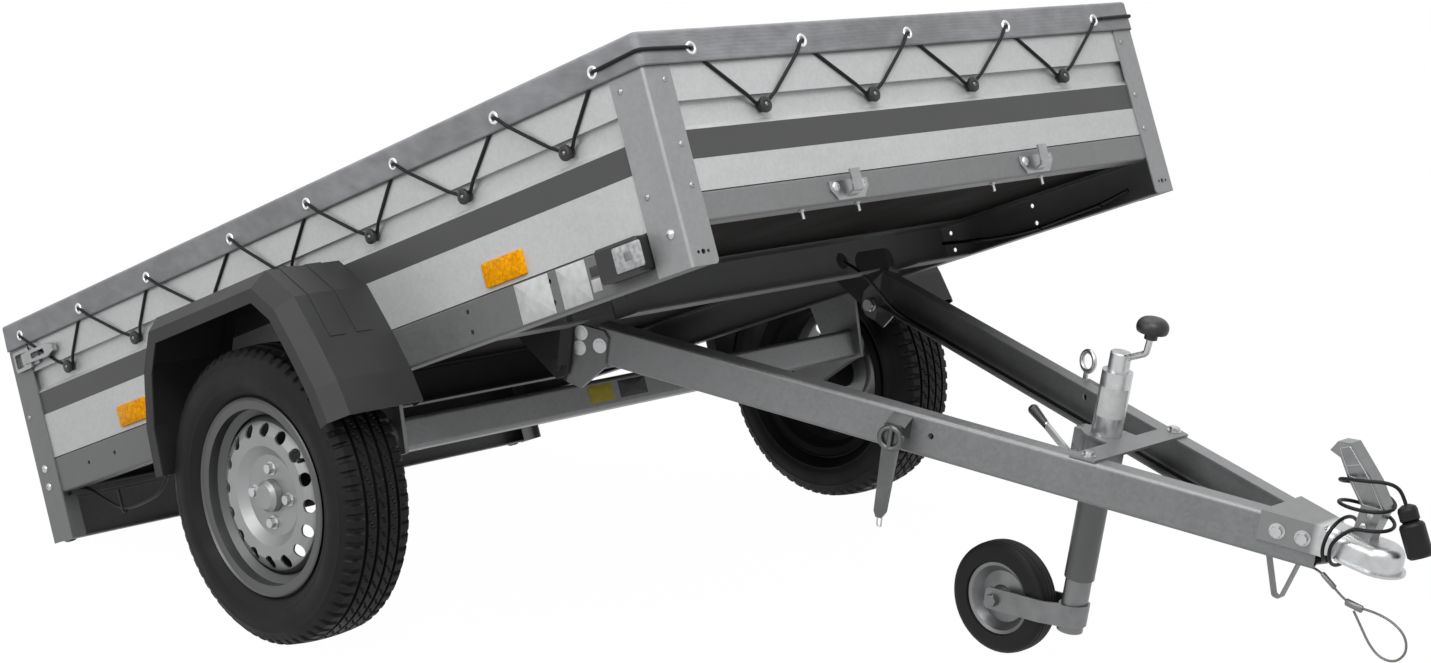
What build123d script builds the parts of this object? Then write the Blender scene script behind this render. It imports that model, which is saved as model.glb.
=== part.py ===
from build123d import *
import os
from math import acos, asin, atan, atan2, cos, degrees, hypot, radians, sin, tan

os.makedirs("parts", exist_ok=True)

# A single-axle utility trailer with a tipping bed, standing with its bed tipped back on the tail
# bumpers and its hinged drawbar on the jockey wheel. All sizes are millimetres.
# The bed is drawn level, x = 0 at the front face and z = 0 at the foot of the front posts.
# The drawbar is drawn level about its hinge bolts. Each is then turned to the angle it stands at.
# The origin is on the ground midway between the two tyres, +X towards the coupling.

# Wheels
tyre_radius = 273.5
tyre_half_width = 77.5
tyre_wall = 12.0
bead_radius = 164.3
bead_gap = 0.3
rim_flange_radius = bead_radius + 17.7
flange_clearance = 1.956
rim_half_width = 63.0
rim_well_depth = 14.3
rim_sheet = 3.0
rim_offset = 30.0
disc_sheet = 4.0
vent_count = 16
vent_radius = 12.5
stud_count = 4
stud_circle_radius = 50.0
stud_hole_radius = 6.5
hub_radius = 34.0
hub_flange_radius = 66.0
hub_cap_radius = 29.0
hub_inner_reach = 45.0
spindle_radius = 14.0
running_gap = 0.1
well_radius = bead_radius - rim_well_depth
vent_circle_radius = well_radius - 28.0
disc_rows = (
    # radius and height of the wheel disc's inner face, over the face that meets the hub
    (hub_cap_radius + 1.0, 0.0),
    (hub_flange_radius + 8.0, 0.0),
    (hub_flange_radius + 8.0 + (well_radius - hub_flange_radius - 42.0) * 3 / 7, 14.0),
    (well_radius - 34.0, 16.0),
    (well_radius - 14.0, 6.0),
    (well_radius - 1.5, -12.0),
)

# Bed, seen level
bed_length = 2056.0
bed_width = 1330.0
wall_top = 376.0
axle_x = -1050.0
axle_z = -150.0
bend_radius = 5.0
post_sheet = 3.0
post_side_width = 80.0
post_front_width = 60.0
post_foot_round = 8.0
post_hole_z = 22.0
post_hole_rows = (
    # distance in from the outer corner, and radius, of the holes in a front post's foot
    (20.0, 3.0),
    (31.0, 4.5),
    (42.0, 3.0),
)
rear_post_width = 76.0
rear_post_foot = -98.0
panel_sheet = 2.0
panel_top_flange = 22.0
panel_lip = 10.0
groove_low = 217.0
groove_slope_top = 225.0
groove_high = 264.0
groove_depth = 10.0
rail_height = 76.0
rail_flange = 40.0
rail_sheet = 3.0
rail_hole_radius = 4.5
front_rail_low = 68.0
front_rail_high = 117.0
floor_thickness = 9.0
member_depth = 60.0
hinge_member_x = -490.0
notch_inner_y = 335.0
notch_outer_y = 452.0
notch_height = 50.0
notch_round = 22.0
cable_hole_radius = 17.0
cable_hole_y = notch_inner_y - 36.0
rear_beam_low = -98.0
rear_beam_high = -8.0
half_width = bed_width / 2
rear_flange_x = -bed_length + 58.0
rear_beam_x = -bed_length + 16.0
middle_member_x = -0.72 * bed_length
rail_hole_rows = (
    # x along the rail, z of its holes
    (-333.0, 58.0),
    (-333.0, 22.0),
    (-554.0, 58.0),
    (-554.0, 22.0),
    (-bed_length + 309.0, 42.0),
    (-bed_length + 204.0, 41.0),
)

# Tail bumpers and lamps
bumper_radius = 15.0
bumper_x = -bed_length
bumper_y = half_width - 35.0
bumper_z = -86.0
lamp_width = 170.0
lamp_height = 74.0
lamp_depth = 28.0
lamp_corner = 10.0
lamp_edge = 4.0
lamp_y = half_width - 175.0

# Tailgate
tailgate_half_width = half_width - 10.0
tailgate_rear_x = -bed_length + 6.0
tailgate_depth = 24.0
tailgate_low = 96.0
tailgate_top = wall_top - 2.0
gate_hinge_x = -bed_length - 4.0
gate_hinge_z = 80.0
gate_hinge_y = half_width - 200.0
gate_pin_radius = 5.0
gate_knuckle_radius = 9.0
gate_knuckle_width = 20.0
gate_ear_width = 10.0
gate_ear_gap = 1.0
gate_ear_sheet = 2.0
gate_ear_foot = 30.0

# Cover
cover_sheet = 3.0
cover_gap = 0.3
cover_hem_low = wall_top - 53.0
cover_clear = 5.5

# Axle
axle_tube_x = axle_x + 157.0
axle_tube_z = axle_z + 47.0
axle_tube_size = 60.0
axle_tube_wall = 5.0
axle_tube_corner = 9.0
axle_plate_y = half_width - 40.0
axle_plate_sheet = 8.0
arm_width = 22.0
arm_root_radius = 34.0
arm_tip_radius = 27.0
wheel_y = half_width + 93.0

# Mudguards
guard_sheet = 3.0
guard_outer_y = half_width + 190.0
guard_shoulder_y = guard_outer_y - 32.0
guard_shoulder_drop = 26.0
guard_skirt = 24.0
guard_flange = 28.0
guard_rib_height = 3.5
guard_rib_width = 33.0
guard_rib_starts = (half_width + 38.0, half_width + 96.0)
guard_rows = (
    # x, z of the arch, about the wheel, from its front foot over the top to its rear foot
    (322.0, 89.0),
    (309.0, 152.0),
    (282.0, 228.0),
    (246.0, 316.0),
    (183.0, 378.0),
    (-185.0, 378.0),
    (-240.0, 300.0),
    (-280.0, 190.0),
    (-288.0, 95.0),
)
guard_rib_rows = (
    # x, z of the ribs' line over the arch's front, about the wheel
    (140.0, 378.0),
    (183.0, 378.0),
    (246.0, 316.0),
    (280.2, 232.4),
)

# Fittings on the bed
marker_length = 103.0
marker_height = 58.0
marker_depth = 30.0
marker_corner = 6.0
marker_z = 46.0
toggle_x = -bed_length + 118.0
toggle_z = wall_top - 83.0
toggle_sheet = 3.0
catch_y = 260.0
catch_z = (front_rail_low + front_rail_high) / 2 - 4.0
catch_width = 96.0
catch_sheet = 4.0

# Drawbar, seen level about its hinge bolts
pivot_x = -610.0
pivot_z = -53.0
pivot_pin_radius = 8.0
beam_outer_y = 428.4
beam_taper = 0.3082
beam_rear_x = 60.0
beam_front_x = 1300.0
beam_low = 17.5
beam_high = 89.0
beam_flange = 35.0
beam_sheet = 3.0
beam_bend = 7.0
beam_split = 0.2
beam_hole_x = 673.0
beam_hole_radius = 5.5
hinge_plate_sheet = 6.0
hinge_plate_rear = -26.0
hinge_plate_front = 84.0
bracket_sheet = 6.0
bracket_gap = 1.0
bracket_flange = 24.0
cross_plate_sheet = 4.0
cross_plate_rear = 900.0
cross_plate_front = 942.0

# Latches on the beams
latch_sheet = 3.0
latch_width = 36.0
latch_reach = 34.0
latch_high = 82.0
latch_low = 44.0
strap_high = 72.0
strap_low = -92.0
strap_top_width = 30.0
strap_foot_width = 20.0
strap_depth = 12.0
eye_radius = 18.0
eye_wire_radius = 4.5
latch_rows = (
    # side, sign, x of the latch, then the eye's place from the latch: along, outwards, and its height
    ("left", 1, 640.0, 8.0, 13.0, 115.0),
    ("right", -1, 622.0, 0.0, 47.0, 52.0),
)

# Coupling
coupler_sheet = 4.0
coupler_rear_x = 1210.0
coupler_skirt_low = 44.0
ball_radius = 25.0
ball_gap = 0.5
ball_x = 1392.0
nose_radius = 37.0
nose_low = 50.0
nose_round = 17.0
lip_width = 6.0
lip_sheet = 4.0
neck_x = beam_front_x + 6.0
coupler_top = beam_high + coupler_sheet
ball_z = coupler_top - coupler_sheet - ball_gap - ball_radius
lever_half_width = 15.0
lever_sheet = 3.0
hook_sheet = 3.0
hook_width = 14.0

# Plug cable, plug and safety wire
cable_radius = 3.0
plug_radius = 20.0
plug_collar_radius = 15.5
plug_length = 84.0
wire_radius = 2.0

# Jockey wheel
leg_x = 868.0
leg_radius = 26.0
leg_bore_radius = 23.0
leg_low = -170.0
leg_high = 204.0
leg_cap_radius = 18.0
leg_cap_high = 237.0
clamp_wall = 9.0
clamp_low = 34.0
slide_gap = 0.3
stem_foot = -268.0
stem_high = -30.0
stem_bore_radius = 19.0
fork_sheet = 4.0
fork_half_gap = 30.0
fork_height = 40.0
jockey_trail = 143.0
jockey_z = -262.0
jockey_radius = 100.0
jockey_half_width = 25.0
jockey_rim_radius = 64.0
jockey_pin_radius = 6.0
crank_wire_radius = 5.5
crank_reach = 50.0
crank_rise = 48.0
crank_low = leg_cap_high - 24.0
knob_radius = 28.0

# Angles that the trailer stands at
tail_reach = axle_x - bumper_x
tail_rise = bumper_z - axle_z
tail_arm = hypot(tail_reach, tail_rise)
bed_tilt = degrees(asin((tyre_radius - bumper_radius) / tail_arm) + atan2(tail_rise, tail_reach))
bed = Location((0, 0, tyre_radius), (0, -bed_tilt, 0)) * Location((-axle_x, 0, -axle_z))
pivot = (bed * Location((pivot_x, 0, pivot_z))).position
jockey_x = leg_x - jockey_trail
stand_reach = hypot(jockey_x, jockey_z)
drawbar_pitch = degrees(asin((pivot.Z - jockey_radius) / stand_reach) - atan2(-jockey_z, jockey_x))
drawbar = Location(pivot, (0, drawbar_pitch, 0))
wheels = Location((0, 0, tyre_radius))

panel_y = half_width - post_sheet
panel_inner_y = panel_y - panel_sheet
rail_inner_y = panel_y - rail_flange
wall_front_x = -bend_radius
wall_rear_x = rear_flange_x + post_sheet
beam_angle = degrees(atan(beam_taper))
sides = (("left", 1), ("right", -1))


def upright(y):
    """Plane across the trailer at y, drawn x forward and z up; a positive extrude goes right."""
    return Plane.XZ.offset(-y)


def beam_y(x):
    """Distance of a beam's outer face from the middle, at x along the drawbar."""
    return beam_outer_y - beam_taper * x


def inward(sign):
    """Side of a sheet's outline that faces into the trailer, for an outline drawn upwards."""
    return Side.LEFT if sign > 0 else Side.RIGHT


def put(piece, label, place):
    """Stand a finished piece where it belongs on the trailer and write it."""
    piece.part.location = place
    piece.part.label = label
    export_step(piece.part, f"parts/{label}.step")


def drawn_in(rows, amount):
    """A line of points moved square to itself, to the left of the way it runs, with mitred corners."""
    moved = []
    for before, here, after in zip((rows[0], *rows), rows, (*rows[1:], rows[-1])):
        squares = []
        for start, end in ((before, here), (here, after)):
            run = hypot(end[0] - start[0], end[1] - start[1])
            if run > 0:
                squares.append(((start[1] - end[1]) / run, (end[0] - start[0]) / run))
        first, last = squares[0], squares[-1]
        reach = amount / (1 + first[0] * last[0] + first[1] * last[1])
        moved.append((here[0] + reach * (first[0] + last[0]), here[1] + reach * (first[1] + last[1])))
    return moved


def band(rows, start, end):
    """Outline of a strip that follows a line of points, between two distances from it."""
    return [*drawn_in(rows, start), *reversed(drawn_in(rows, end))]


def cord_bends(points):
    """Bend radius at each inner point of a cord: its arc takes up 0.45 of the shorter run beside it."""
    radii = []
    for before, here, after in zip(points, points[1:], points[2:]):
        coming = Vector(*here) - Vector(*before)
        going = Vector(*after) - Vector(*here)
        turn = radians(coming.get_angle(going))
        radii.append(0.45 * min(coming.length, going.length) / tan(turn / 2))
    return radii


# Side rails, panels and corner posts
for side, sign in sides:
    with BuildPart() as rail:
        with BuildSketch(Plane.YZ.offset(wall_front_x)):
            with BuildLine():
                FilletPolyline(
                    (sign * rail_inner_y, 0),
                    (sign * panel_y, 0),
                    (sign * panel_y, rail_height),
                    (sign * rail_inner_y, rail_height),
                    radius=bend_radius,
                )
                offset(amount=rail_sheet, kind=Kind.INTERSECTION, side=inward(sign))
            make_face()
        extrude(amount=wall_rear_x - wall_front_x)
        with BuildSketch(upright(sign * panel_y)):
            with Locations(*rail_hole_rows):
                Circle(rail_hole_radius)
        extrude(amount=sign * rail_sheet, mode=Mode.SUBTRACT)
    put(rail, f"side_rail_{side}", bed)

    with BuildPart() as panel:
        with BuildSketch(Plane.YZ.offset(wall_front_x)):
            with BuildLine():
                Polyline(
                    (sign * panel_y, rail_height),
                    (sign * panel_y, groove_low),
                    (sign * (panel_y - groove_depth), groove_slope_top),
                    (sign * (panel_y - groove_depth), groove_high),
                    (sign * panel_y, groove_high),
                    (sign * panel_y, wall_top),
                    (sign * (panel_y - panel_top_flange), wall_top),
                    (sign * (panel_y - panel_top_flange), wall_top - panel_lip),
                )
                offset(amount=panel_sheet, kind=Kind.INTERSECTION, side=inward(sign))
            make_face()
        extrude(amount=wall_rear_x - wall_front_x)
    put(panel, f"side_panel_{side}", bed)

    with BuildPart() as front_post:
        with BuildSketch(Plane.XY):
            with BuildLine():
                FilletPolyline(
                    (-post_side_width, sign * half_width),
                    (0, sign * half_width),
                    (0, sign * (half_width - post_front_width)),
                    radius=bend_radius,
                )
                offset(amount=post_sheet, kind=Kind.INTERSECTION, side=inward(-sign))
            make_face()
        extrude(amount=wall_top)
        for inset, radius in post_hole_rows:
            with BuildSketch(Plane.YZ):
                with Locations((sign * (half_width - inset), post_hole_z)):
                    Circle(radius)
            extrude(amount=-post_sheet, mode=Mode.SUBTRACT)
        feet = front_post.edges().filter_by(Axis.X).group_by(Axis.Z)[0]
        fillet(feet.sort_by(SortBy.LENGTH)[0], post_foot_round)
    put(front_post, f"front_post_{side}", bed)

    with BuildPart() as rear_post:
        with BuildSketch(Plane.XY.offset(rear_post_foot)):
            with Locations((-bed_length + rear_post_width / 2, sign * (half_width - post_sheet / 2))):
                Rectangle(rear_post_width, post_sheet)
            with Locations((rear_flange_x + post_sheet / 2, sign * (panel_y - rail_flange / 2))):
                Rectangle(post_sheet, rail_flange)
        extrude(amount=wall_top - rear_post_foot)
    put(rear_post, f"rear_post_{side}", bed)

# Front wall and its rail
with BuildPart() as front_panel:
    with BuildSketch(upright(panel_y - panel_top_flange)):
        with BuildLine():
            Polyline(
                (-post_sheet, front_rail_high),
                (-post_sheet, groove_low),
                (-post_sheet - groove_depth, groove_slope_top),
                (-post_sheet - groove_depth, groove_high),
                (-post_sheet, groove_high),
                (-post_sheet, wall_top),
                (-post_sheet - panel_top_flange, wall_top),
                (-post_sheet - panel_top_flange, wall_top - panel_lip),
            )
            offset(amount=panel_sheet, kind=Kind.INTERSECTION, side=Side.LEFT)
        make_face()
    extrude(amount=2 * (panel_y - panel_top_flange))
put(front_panel, "front_panel", bed)

with BuildPart() as front_rail:
    with BuildSketch(upright(rail_inner_y)):
        with BuildLine():
            FilletPolyline(
                (-post_sheet - rail_flange, front_rail_low),
                (-post_sheet, front_rail_low),
                (-post_sheet, front_rail_high),
                (-post_sheet - rail_flange, front_rail_high),
                radius=bend_radius,
            )
            offset(amount=rail_sheet, kind=Kind.INTERSECTION, side=Side.LEFT)
        make_face()
    extrude(amount=2 * rail_inner_y)
put(front_rail, "front_rail", bed)

# Floor board on the rails and cross-members
with BuildPart() as floor_board:
    with BuildSketch(Plane.XY.offset(rail_height)):
        with BuildLine():
            Polyline(
                (-post_sheet - rail_sheet, -panel_inner_y),
                (-post_sheet - rail_sheet, panel_inner_y),
                (wall_rear_x, panel_inner_y),
                (wall_rear_x, -panel_inner_y),
                close=True,
            )
        make_face()
    extrude(amount=floor_thickness)
put(floor_board, "floor_board", bed)

# Cross-members: channels with their web to the rear
notch_y = (notch_inner_y + notch_outer_y) / 2
knuckle_edge = gate_knuckle_width / 2
ear_edge = knuckle_edge + gate_ear_gap
pin_edge = ear_edge + gate_ear_width
member_rows = (
    # name, x of the open front edge, notched for the drawbar beams, carries the tailgate's pins
    ("hinge_member", hinge_member_x, True, False),
    ("middle_member", middle_member_x, False, False),
    ("rear_member", wall_rear_x + member_depth, False, True),
)
for name, front_x, notched, hinged in member_rows:
    web_x = front_x - member_depth
    with BuildPart() as member:
        with BuildSketch(upright(rail_inner_y)):
            with BuildLine():
                FilletPolyline(
                    (front_x, 0),
                    (web_x, 0),
                    (web_x, rail_height),
                    (front_x, rail_height),
                    radius=bend_radius,
                )
                offset(amount=rail_sheet, kind=Kind.INTERSECTION, side=Side.RIGHT)
            make_face()
        extrude(amount=2 * rail_inner_y)
        if notched:
            with BuildSketch(Plane.YZ.offset(front_x)):
                with Locations((notch_y, 0), (-notch_y, 0)):
                    RectangleRounded(notch_outer_y - notch_inner_y, 2 * notch_height, notch_round)
                with Locations((cable_hole_y, rail_height / 2)):
                    Circle(cable_hole_radius)
                with Locations((notch_outer_y + 36, 21), (-notch_outer_y - 36, 21), (-cable_hole_y, 42)):
                    Circle(rail_hole_radius)
            extrude(amount=-member_depth, mode=Mode.SUBTRACT)
        if hinged:
            for centre_y in (gate_hinge_y, -gate_hinge_y):
                with BuildSketch(upright(centre_y + knuckle_edge)):
                    with Locations((gate_hinge_x, gate_hinge_z)):
                        Circle(gate_knuckle_radius)
                    with BuildLine():
                        Polyline(
                            (gate_hinge_x, gate_hinge_z - gate_knuckle_radius),
                            (web_x, gate_hinge_z - gate_knuckle_radius - bend_radius - 3),
                            (web_x, gate_hinge_z - gate_knuckle_radius),
                            (gate_hinge_x, gate_hinge_z),
                            close=True,
                        )
                    make_face()
                extrude(amount=2 * knuckle_edge)
                with BuildSketch(upright(centre_y + pin_edge)):
                    with Locations((gate_hinge_x, gate_hinge_z)):
                        Circle(gate_pin_radius)
                extrude(amount=2 * pin_edge)
    put(member, name, bed)

# Rear beam, between the feet of the rear posts, with its bumpers and lamps
with BuildPart() as rear_beam:
    with BuildSketch(upright(panel_y)):
        with BuildLine():
            FilletPolyline(
                (rear_flange_x, rear_beam_low),
                (rear_beam_x, rear_beam_low),
                (rear_beam_x, rear_beam_high),
                (rear_flange_x, rear_beam_high),
                radius=bend_radius,
            )
            offset(amount=rail_sheet, kind=Kind.INTERSECTION, side=Side.RIGHT)
        make_face()
    extrude(amount=2 * panel_y)
put(rear_beam, "rear_beam", bed)

for side, sign in sides:
    with BuildPart() as bumper:
        with BuildSketch(Plane.XY.offset(bumper_z)):
            with BuildLine():
                Polyline(
                    (bumper_x - bumper_radius, sign * bumper_y),
                    (rear_beam_x, sign * bumper_y),
                    (rear_beam_x, sign * bumper_y + bumper_radius),
                    (bumper_x, sign * bumper_y + bumper_radius),
                )
                RadiusArc(
                    (bumper_x, sign * bumper_y + bumper_radius),
                    (bumper_x - bumper_radius, sign * bumper_y),
                    -bumper_radius,
                )
            make_face()
        revolve(axis=Axis((bumper_x, sign * bumper_y, bumper_z), (1, 0, 0)))
    put(bumper, f"tail_bumper_{side}", bed)

    with BuildPart() as lamp:
        with BuildSketch(Plane.YZ.offset(rear_beam_x)):
            with Locations((sign * lamp_y, (rear_beam_low + rear_beam_high) / 2)):
                RectangleRounded(lamp_width, lamp_height, lamp_corner)
        extrude(amount=-lamp_depth)
        chamfer(lamp.faces().sort_by(Axis.X)[0].edges(), lamp_edge)
    put(lamp, f"rear_lamp_{side}", bed)

# Tailgate, hung at its foot
with BuildPart() as tailgate:
    with BuildSketch(upright(tailgate_half_width)):
        with BuildLine():
            Polyline(
                (tailgate_rear_x + tailgate_depth, tailgate_low),
                (tailgate_rear_x, tailgate_low),
                (tailgate_rear_x, groove_low),
                (tailgate_rear_x + groove_depth, groove_slope_top),
                (tailgate_rear_x + groove_depth, groove_high),
                (tailgate_rear_x, groove_high),
                (tailgate_rear_x, tailgate_top),
                (tailgate_rear_x + tailgate_depth, tailgate_top),
            )
            offset(amount=panel_sheet, kind=Kind.INTERSECTION, side=Side.RIGHT)
        make_face()
    extrude(amount=2 * tailgate_half_width)
    for centre_y in (gate_hinge_y, -gate_hinge_y):
        for start in (pin_edge, -ear_edge):
            with BuildSketch(upright(centre_y + start)):
                with Locations((gate_hinge_x, gate_hinge_z)):
                    Circle(gate_knuckle_radius)
                with Locations((tailgate_rear_x - gate_ear_sheet / 2, tailgate_low + gate_ear_foot * 0.7)):
                    Rectangle(gate_ear_sheet, gate_ear_foot)
                make_hull()
                with Locations((gate_hinge_x, gate_hinge_z)):
                    Circle(gate_pin_radius + running_gap, mode=Mode.SUBTRACT)
            extrude(amount=gate_ear_width)
put(tailgate, "tailgate", bed)

# Cover stretched over the walls, with its hem, and its flap on the tailgate
with BuildPart() as cover:
    with BuildSketch(Plane.XY.offset(cover_hem_low)):
        with Locations((-bed_length / 2 + (cover_gap + cover_sheet) / 2, 0)):
            Rectangle(bed_length + cover_gap + cover_sheet, bed_width + 2 * (cover_gap + cover_sheet))
    extrude(amount=wall_top + cover_gap + cover_sheet - cover_hem_low)
    with BuildSketch(Plane.XY.offset(cover_hem_low)):
        with Locations((-bed_length / 2 + cover_gap / 2, 0)):
            Rectangle(bed_length + cover_gap, bed_width + 2 * cover_gap)
    extrude(amount=wall_top + cover_gap - cover_hem_low, mode=Mode.SUBTRACT)
    with BuildSketch(Plane.XY.offset(cover_hem_low)):
        with Locations((-bed_length, 0)):
            Rectangle(
                2 * (bed_length + tailgate_rear_x + tailgate_depth + cover_sheet + cover_clear),
                2 * (tailgate_half_width + cover_clear),
            )
    extrude(amount=wall_top - cover_hem_low + 2 * cover_sheet, mode=Mode.SUBTRACT)
put(cover, "cover", bed)

with BuildPart() as cover_flap:
    with BuildSketch(upright(tailgate_half_width)):
        with BuildLine():
            Polyline(
                (tailgate_rear_x + tailgate_depth, tailgate_top + cover_gap),
                (tailgate_rear_x - cover_gap, tailgate_top + cover_gap),
                (tailgate_rear_x - cover_gap, cover_hem_low),
            )
            offset(amount=cover_sheet, kind=Kind.INTERSECTION, side=Side.RIGHT)
        make_face()
    extrude(amount=2 * tailgate_half_width)
put(cover_flap, "cover_flap", bed)

# Rubber-sprung axle: tube with welded plates up to the rails, and swing arms with their spindles
with BuildPart() as axle:
    with BuildSketch(upright(axle_plate_y)):
        with Locations((axle_tube_x, axle_tube_z)):
            RectangleRounded(axle_tube_size, axle_tube_size, axle_tube_corner)
            Rectangle(
                axle_tube_size - 2 * axle_tube_wall,
                axle_tube_size - 2 * axle_tube_wall,
                mode=Mode.SUBTRACT,
            )
    extrude(amount=2 * axle_plate_y)
    plate_foot = axle_tube_z - axle_tube_size / 2 - axle_tube_wall
    for sign in (1, -1):
        with BuildSketch(upright(sign * axle_plate_y)):
            with BuildLine():
                Polyline(
                    (axle_tube_x + 1.1 * axle_tube_size, 0),
                    (axle_tube_x + 0.7 * axle_tube_size, plate_foot),
                    (axle_tube_x - 0.7 * axle_tube_size, plate_foot),
                    (axle_tube_x - 1.1 * axle_tube_size, 0),
                    close=True,
                )
            make_face()
        extrude(amount=-sign * axle_plate_sheet)
put(axle, "axle", bed)

arm_y = axle_plate_y + axle_plate_sheet
spindle_end = wheel_y + rim_offset / 2
for side, sign in sides:
    with BuildPart() as swing_arm:
        with BuildSketch(upright(sign * arm_y)):
            with Locations((axle_tube_x, axle_tube_z)):
                Circle(arm_root_radius)
            with Locations((axle_x, axle_z)):
                Circle(arm_tip_radius)
            make_hull()
        extrude(amount=-sign * arm_width)
        with BuildSketch(upright(sign * (arm_y + arm_width))):
            with Locations((axle_x, axle_z)):
                Circle(spindle_radius)
        extrude(amount=-sign * (spindle_end - arm_y - arm_width))
    put(swing_arm, f"swing_arm_{side}", bed)

    shoulder_inside = guard_shoulder_drop + guard_sheet
    with BuildPart() as mudguard:
        with BuildSketch(upright(sign * panel_y)):
            with BuildLine():
                Polyline(*band(guard_rows, 0, guard_sheet), close=True)
            make_face()
        extrude(amount=-sign * (guard_shoulder_y - panel_y))
        with BuildSketch(upright(sign * guard_shoulder_y)):
            with BuildLine():
                Polyline(*band(guard_rows, 0, guard_sheet), close=True)
            make_face()
        with BuildSketch(upright(sign * guard_outer_y)):
            with BuildLine():
                Polyline(*band(guard_rows, guard_shoulder_drop, shoulder_inside), close=True)
            make_face()
        loft(ruled=True)
        skirt_y = guard_outer_y - guard_sheet
        for start, near, far in (
            (panel_y, 0, guard_flange),
            (skirt_y, guard_shoulder_drop, guard_shoulder_drop + guard_skirt),
        ):
            with BuildSketch(upright(sign * start)):
                with BuildLine():
                    Polyline(*band(guard_rows, near, far), close=True)
                make_face()
            extrude(amount=-sign * guard_sheet)
        for start in guard_rib_starts:
            with BuildSketch(upright(sign * start)):
                with BuildLine():
                    Polyline(*band(guard_rib_rows, -guard_rib_height, guard_sheet / 2), close=True)
                make_face()
            extrude(amount=-sign * guard_rib_width)
    put(mudguard, f"mudguard_{side}", bed * Location((axle_x, 0, axle_z)))

# Wheels, turned about Y at the middle of the axle
wall_rise = tyre_radius - bead_radius
lower_wall = rim_flange_radius + flange_clearance
widest = bead_radius + 0.53 * wall_rise
upper_wall = bead_radius + 0.86 * wall_rise
tread_edge = bead_radius + 0.963 * wall_rise
lower_lining = bead_radius + 0.20 * wall_rise
upper_lining = bead_radius + 0.78 * wall_rise
seat_y = rim_half_width - 5.3
toe_y = rim_half_width - 18.0
wall_y = 0.89 * tyre_half_width
tread_y = 0.72 * tyre_half_width
lining_y = 0.86 * tyre_half_width
crown_y = 0.52 * tyre_half_width
for side, sign in sides:
    with BuildPart() as tyre:
        with BuildSketch(Plane.XY):
            with BuildLine():
                Polyline((bead_radius, toe_y), (bead_radius, seat_y), (lower_wall, seat_y))
                ThreePointArc((lower_wall, seat_y), (widest, tyre_half_width), (upper_wall, wall_y))
                Line((upper_wall, wall_y), (tread_edge, tread_y))
                ThreePointArc((tread_edge, tread_y), (tyre_radius, 0), (tread_edge, -tread_y))
                Line((tread_edge, -tread_y), (upper_wall, -wall_y))
                ThreePointArc((upper_wall, -wall_y), (widest, -tyre_half_width), (lower_wall, -seat_y))
                Polyline(
                    (lower_wall, -seat_y),
                    (bead_radius, -seat_y),
                    (bead_radius, -toe_y),
                    (lower_lining, -toe_y),
                )
                ThreePointArc(
                    (lower_lining, -toe_y),
                    (widest, -lining_y),
                    (upper_lining, -tread_y),
                )
                Polyline(
                    (upper_lining, -tread_y),
                    (tyre_radius - tyre_wall, -crown_y),
                    (tyre_radius - tyre_wall, crown_y),
                    (upper_lining, tread_y),
                )
                ThreePointArc((upper_lining, tread_y), (widest, lining_y), (lower_lining, toe_y))
                Line((lower_lining, toe_y), (bead_radius, toe_y))
            make_face()
        revolve(axis=Axis.Y)
    put(tyre, f"tyre_{side}", wheels * Location((0, sign * wheel_y, 0)))

    rim_rows = (
        # radius and distance from the middle of the rim's outer line
        (rim_flange_radius, rim_half_width),
        (rim_flange_radius - 4.0, rim_half_width - 4.0),
        (bead_radius - bead_gap, rim_half_width - 5.0),
        (bead_radius - bead_gap - 0.5, rim_half_width - 23.0),
        (well_radius, rim_half_width - 33.0),
    )
    disc_face = rim_offset + disc_sheet
    with BuildPart() as rim:
        with BuildSketch(Plane.XY):
            with BuildLine():
                Polyline(*rim_rows, *[(radius, -y) for radius, y in reversed(rim_rows)])
                offset(amount=rim_sheet, kind=Kind.INTERSECTION, side=Side.RIGHT)
            make_face()
            with BuildLine():
                Polyline(
                    *[(radius, sign * (rim_offset + rise)) for radius, rise in disc_rows],
                    *[(radius, sign * (disc_face + rise)) for radius, rise in reversed(disc_rows)],
                    close=True,
                )
            make_face()
        revolve(axis=Axis.Y)
        with BuildSketch(upright(0)):
            with PolarLocations(vent_circle_radius, vent_count):
                Circle(vent_radius)
            with PolarLocations(stud_circle_radius, stud_count):
                Circle(stud_hole_radius)
        extrude(amount=-sign * 2 * rim_half_width, mode=Mode.SUBTRACT)
    put(rim, f"rim_{side}", wheels * Location((0, sign * wheel_y, 0)))

    with BuildPart() as hub:
        with BuildSketch(Plane.XY):
            with BuildLine():
                Polyline(
                    (0, sign * (rim_offset - 10)),
                    (spindle_radius + running_gap, sign * (rim_offset - 10)),
                    (spindle_radius + running_gap, -sign * hub_inner_reach),
                    (hub_radius, -sign * hub_inner_reach),
                    (hub_radius, sign * (rim_offset - 8)),
                    (hub_flange_radius, sign * (rim_offset - 8)),
                    (hub_flange_radius, sign * rim_offset),
                    (hub_cap_radius, sign * rim_offset),
                    (hub_cap_radius, sign * (rim_offset + 18)),
                    (hub_cap_radius - 7, sign * (rim_offset + 25)),
                    (0, sign * (rim_offset + 25)),
                    close=True,
                )
            make_face()
        revolve(axis=Axis.Y)
    put(hub, f"hub_{side}", wheels * Location((0, sign * wheel_y, 0)))

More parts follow.
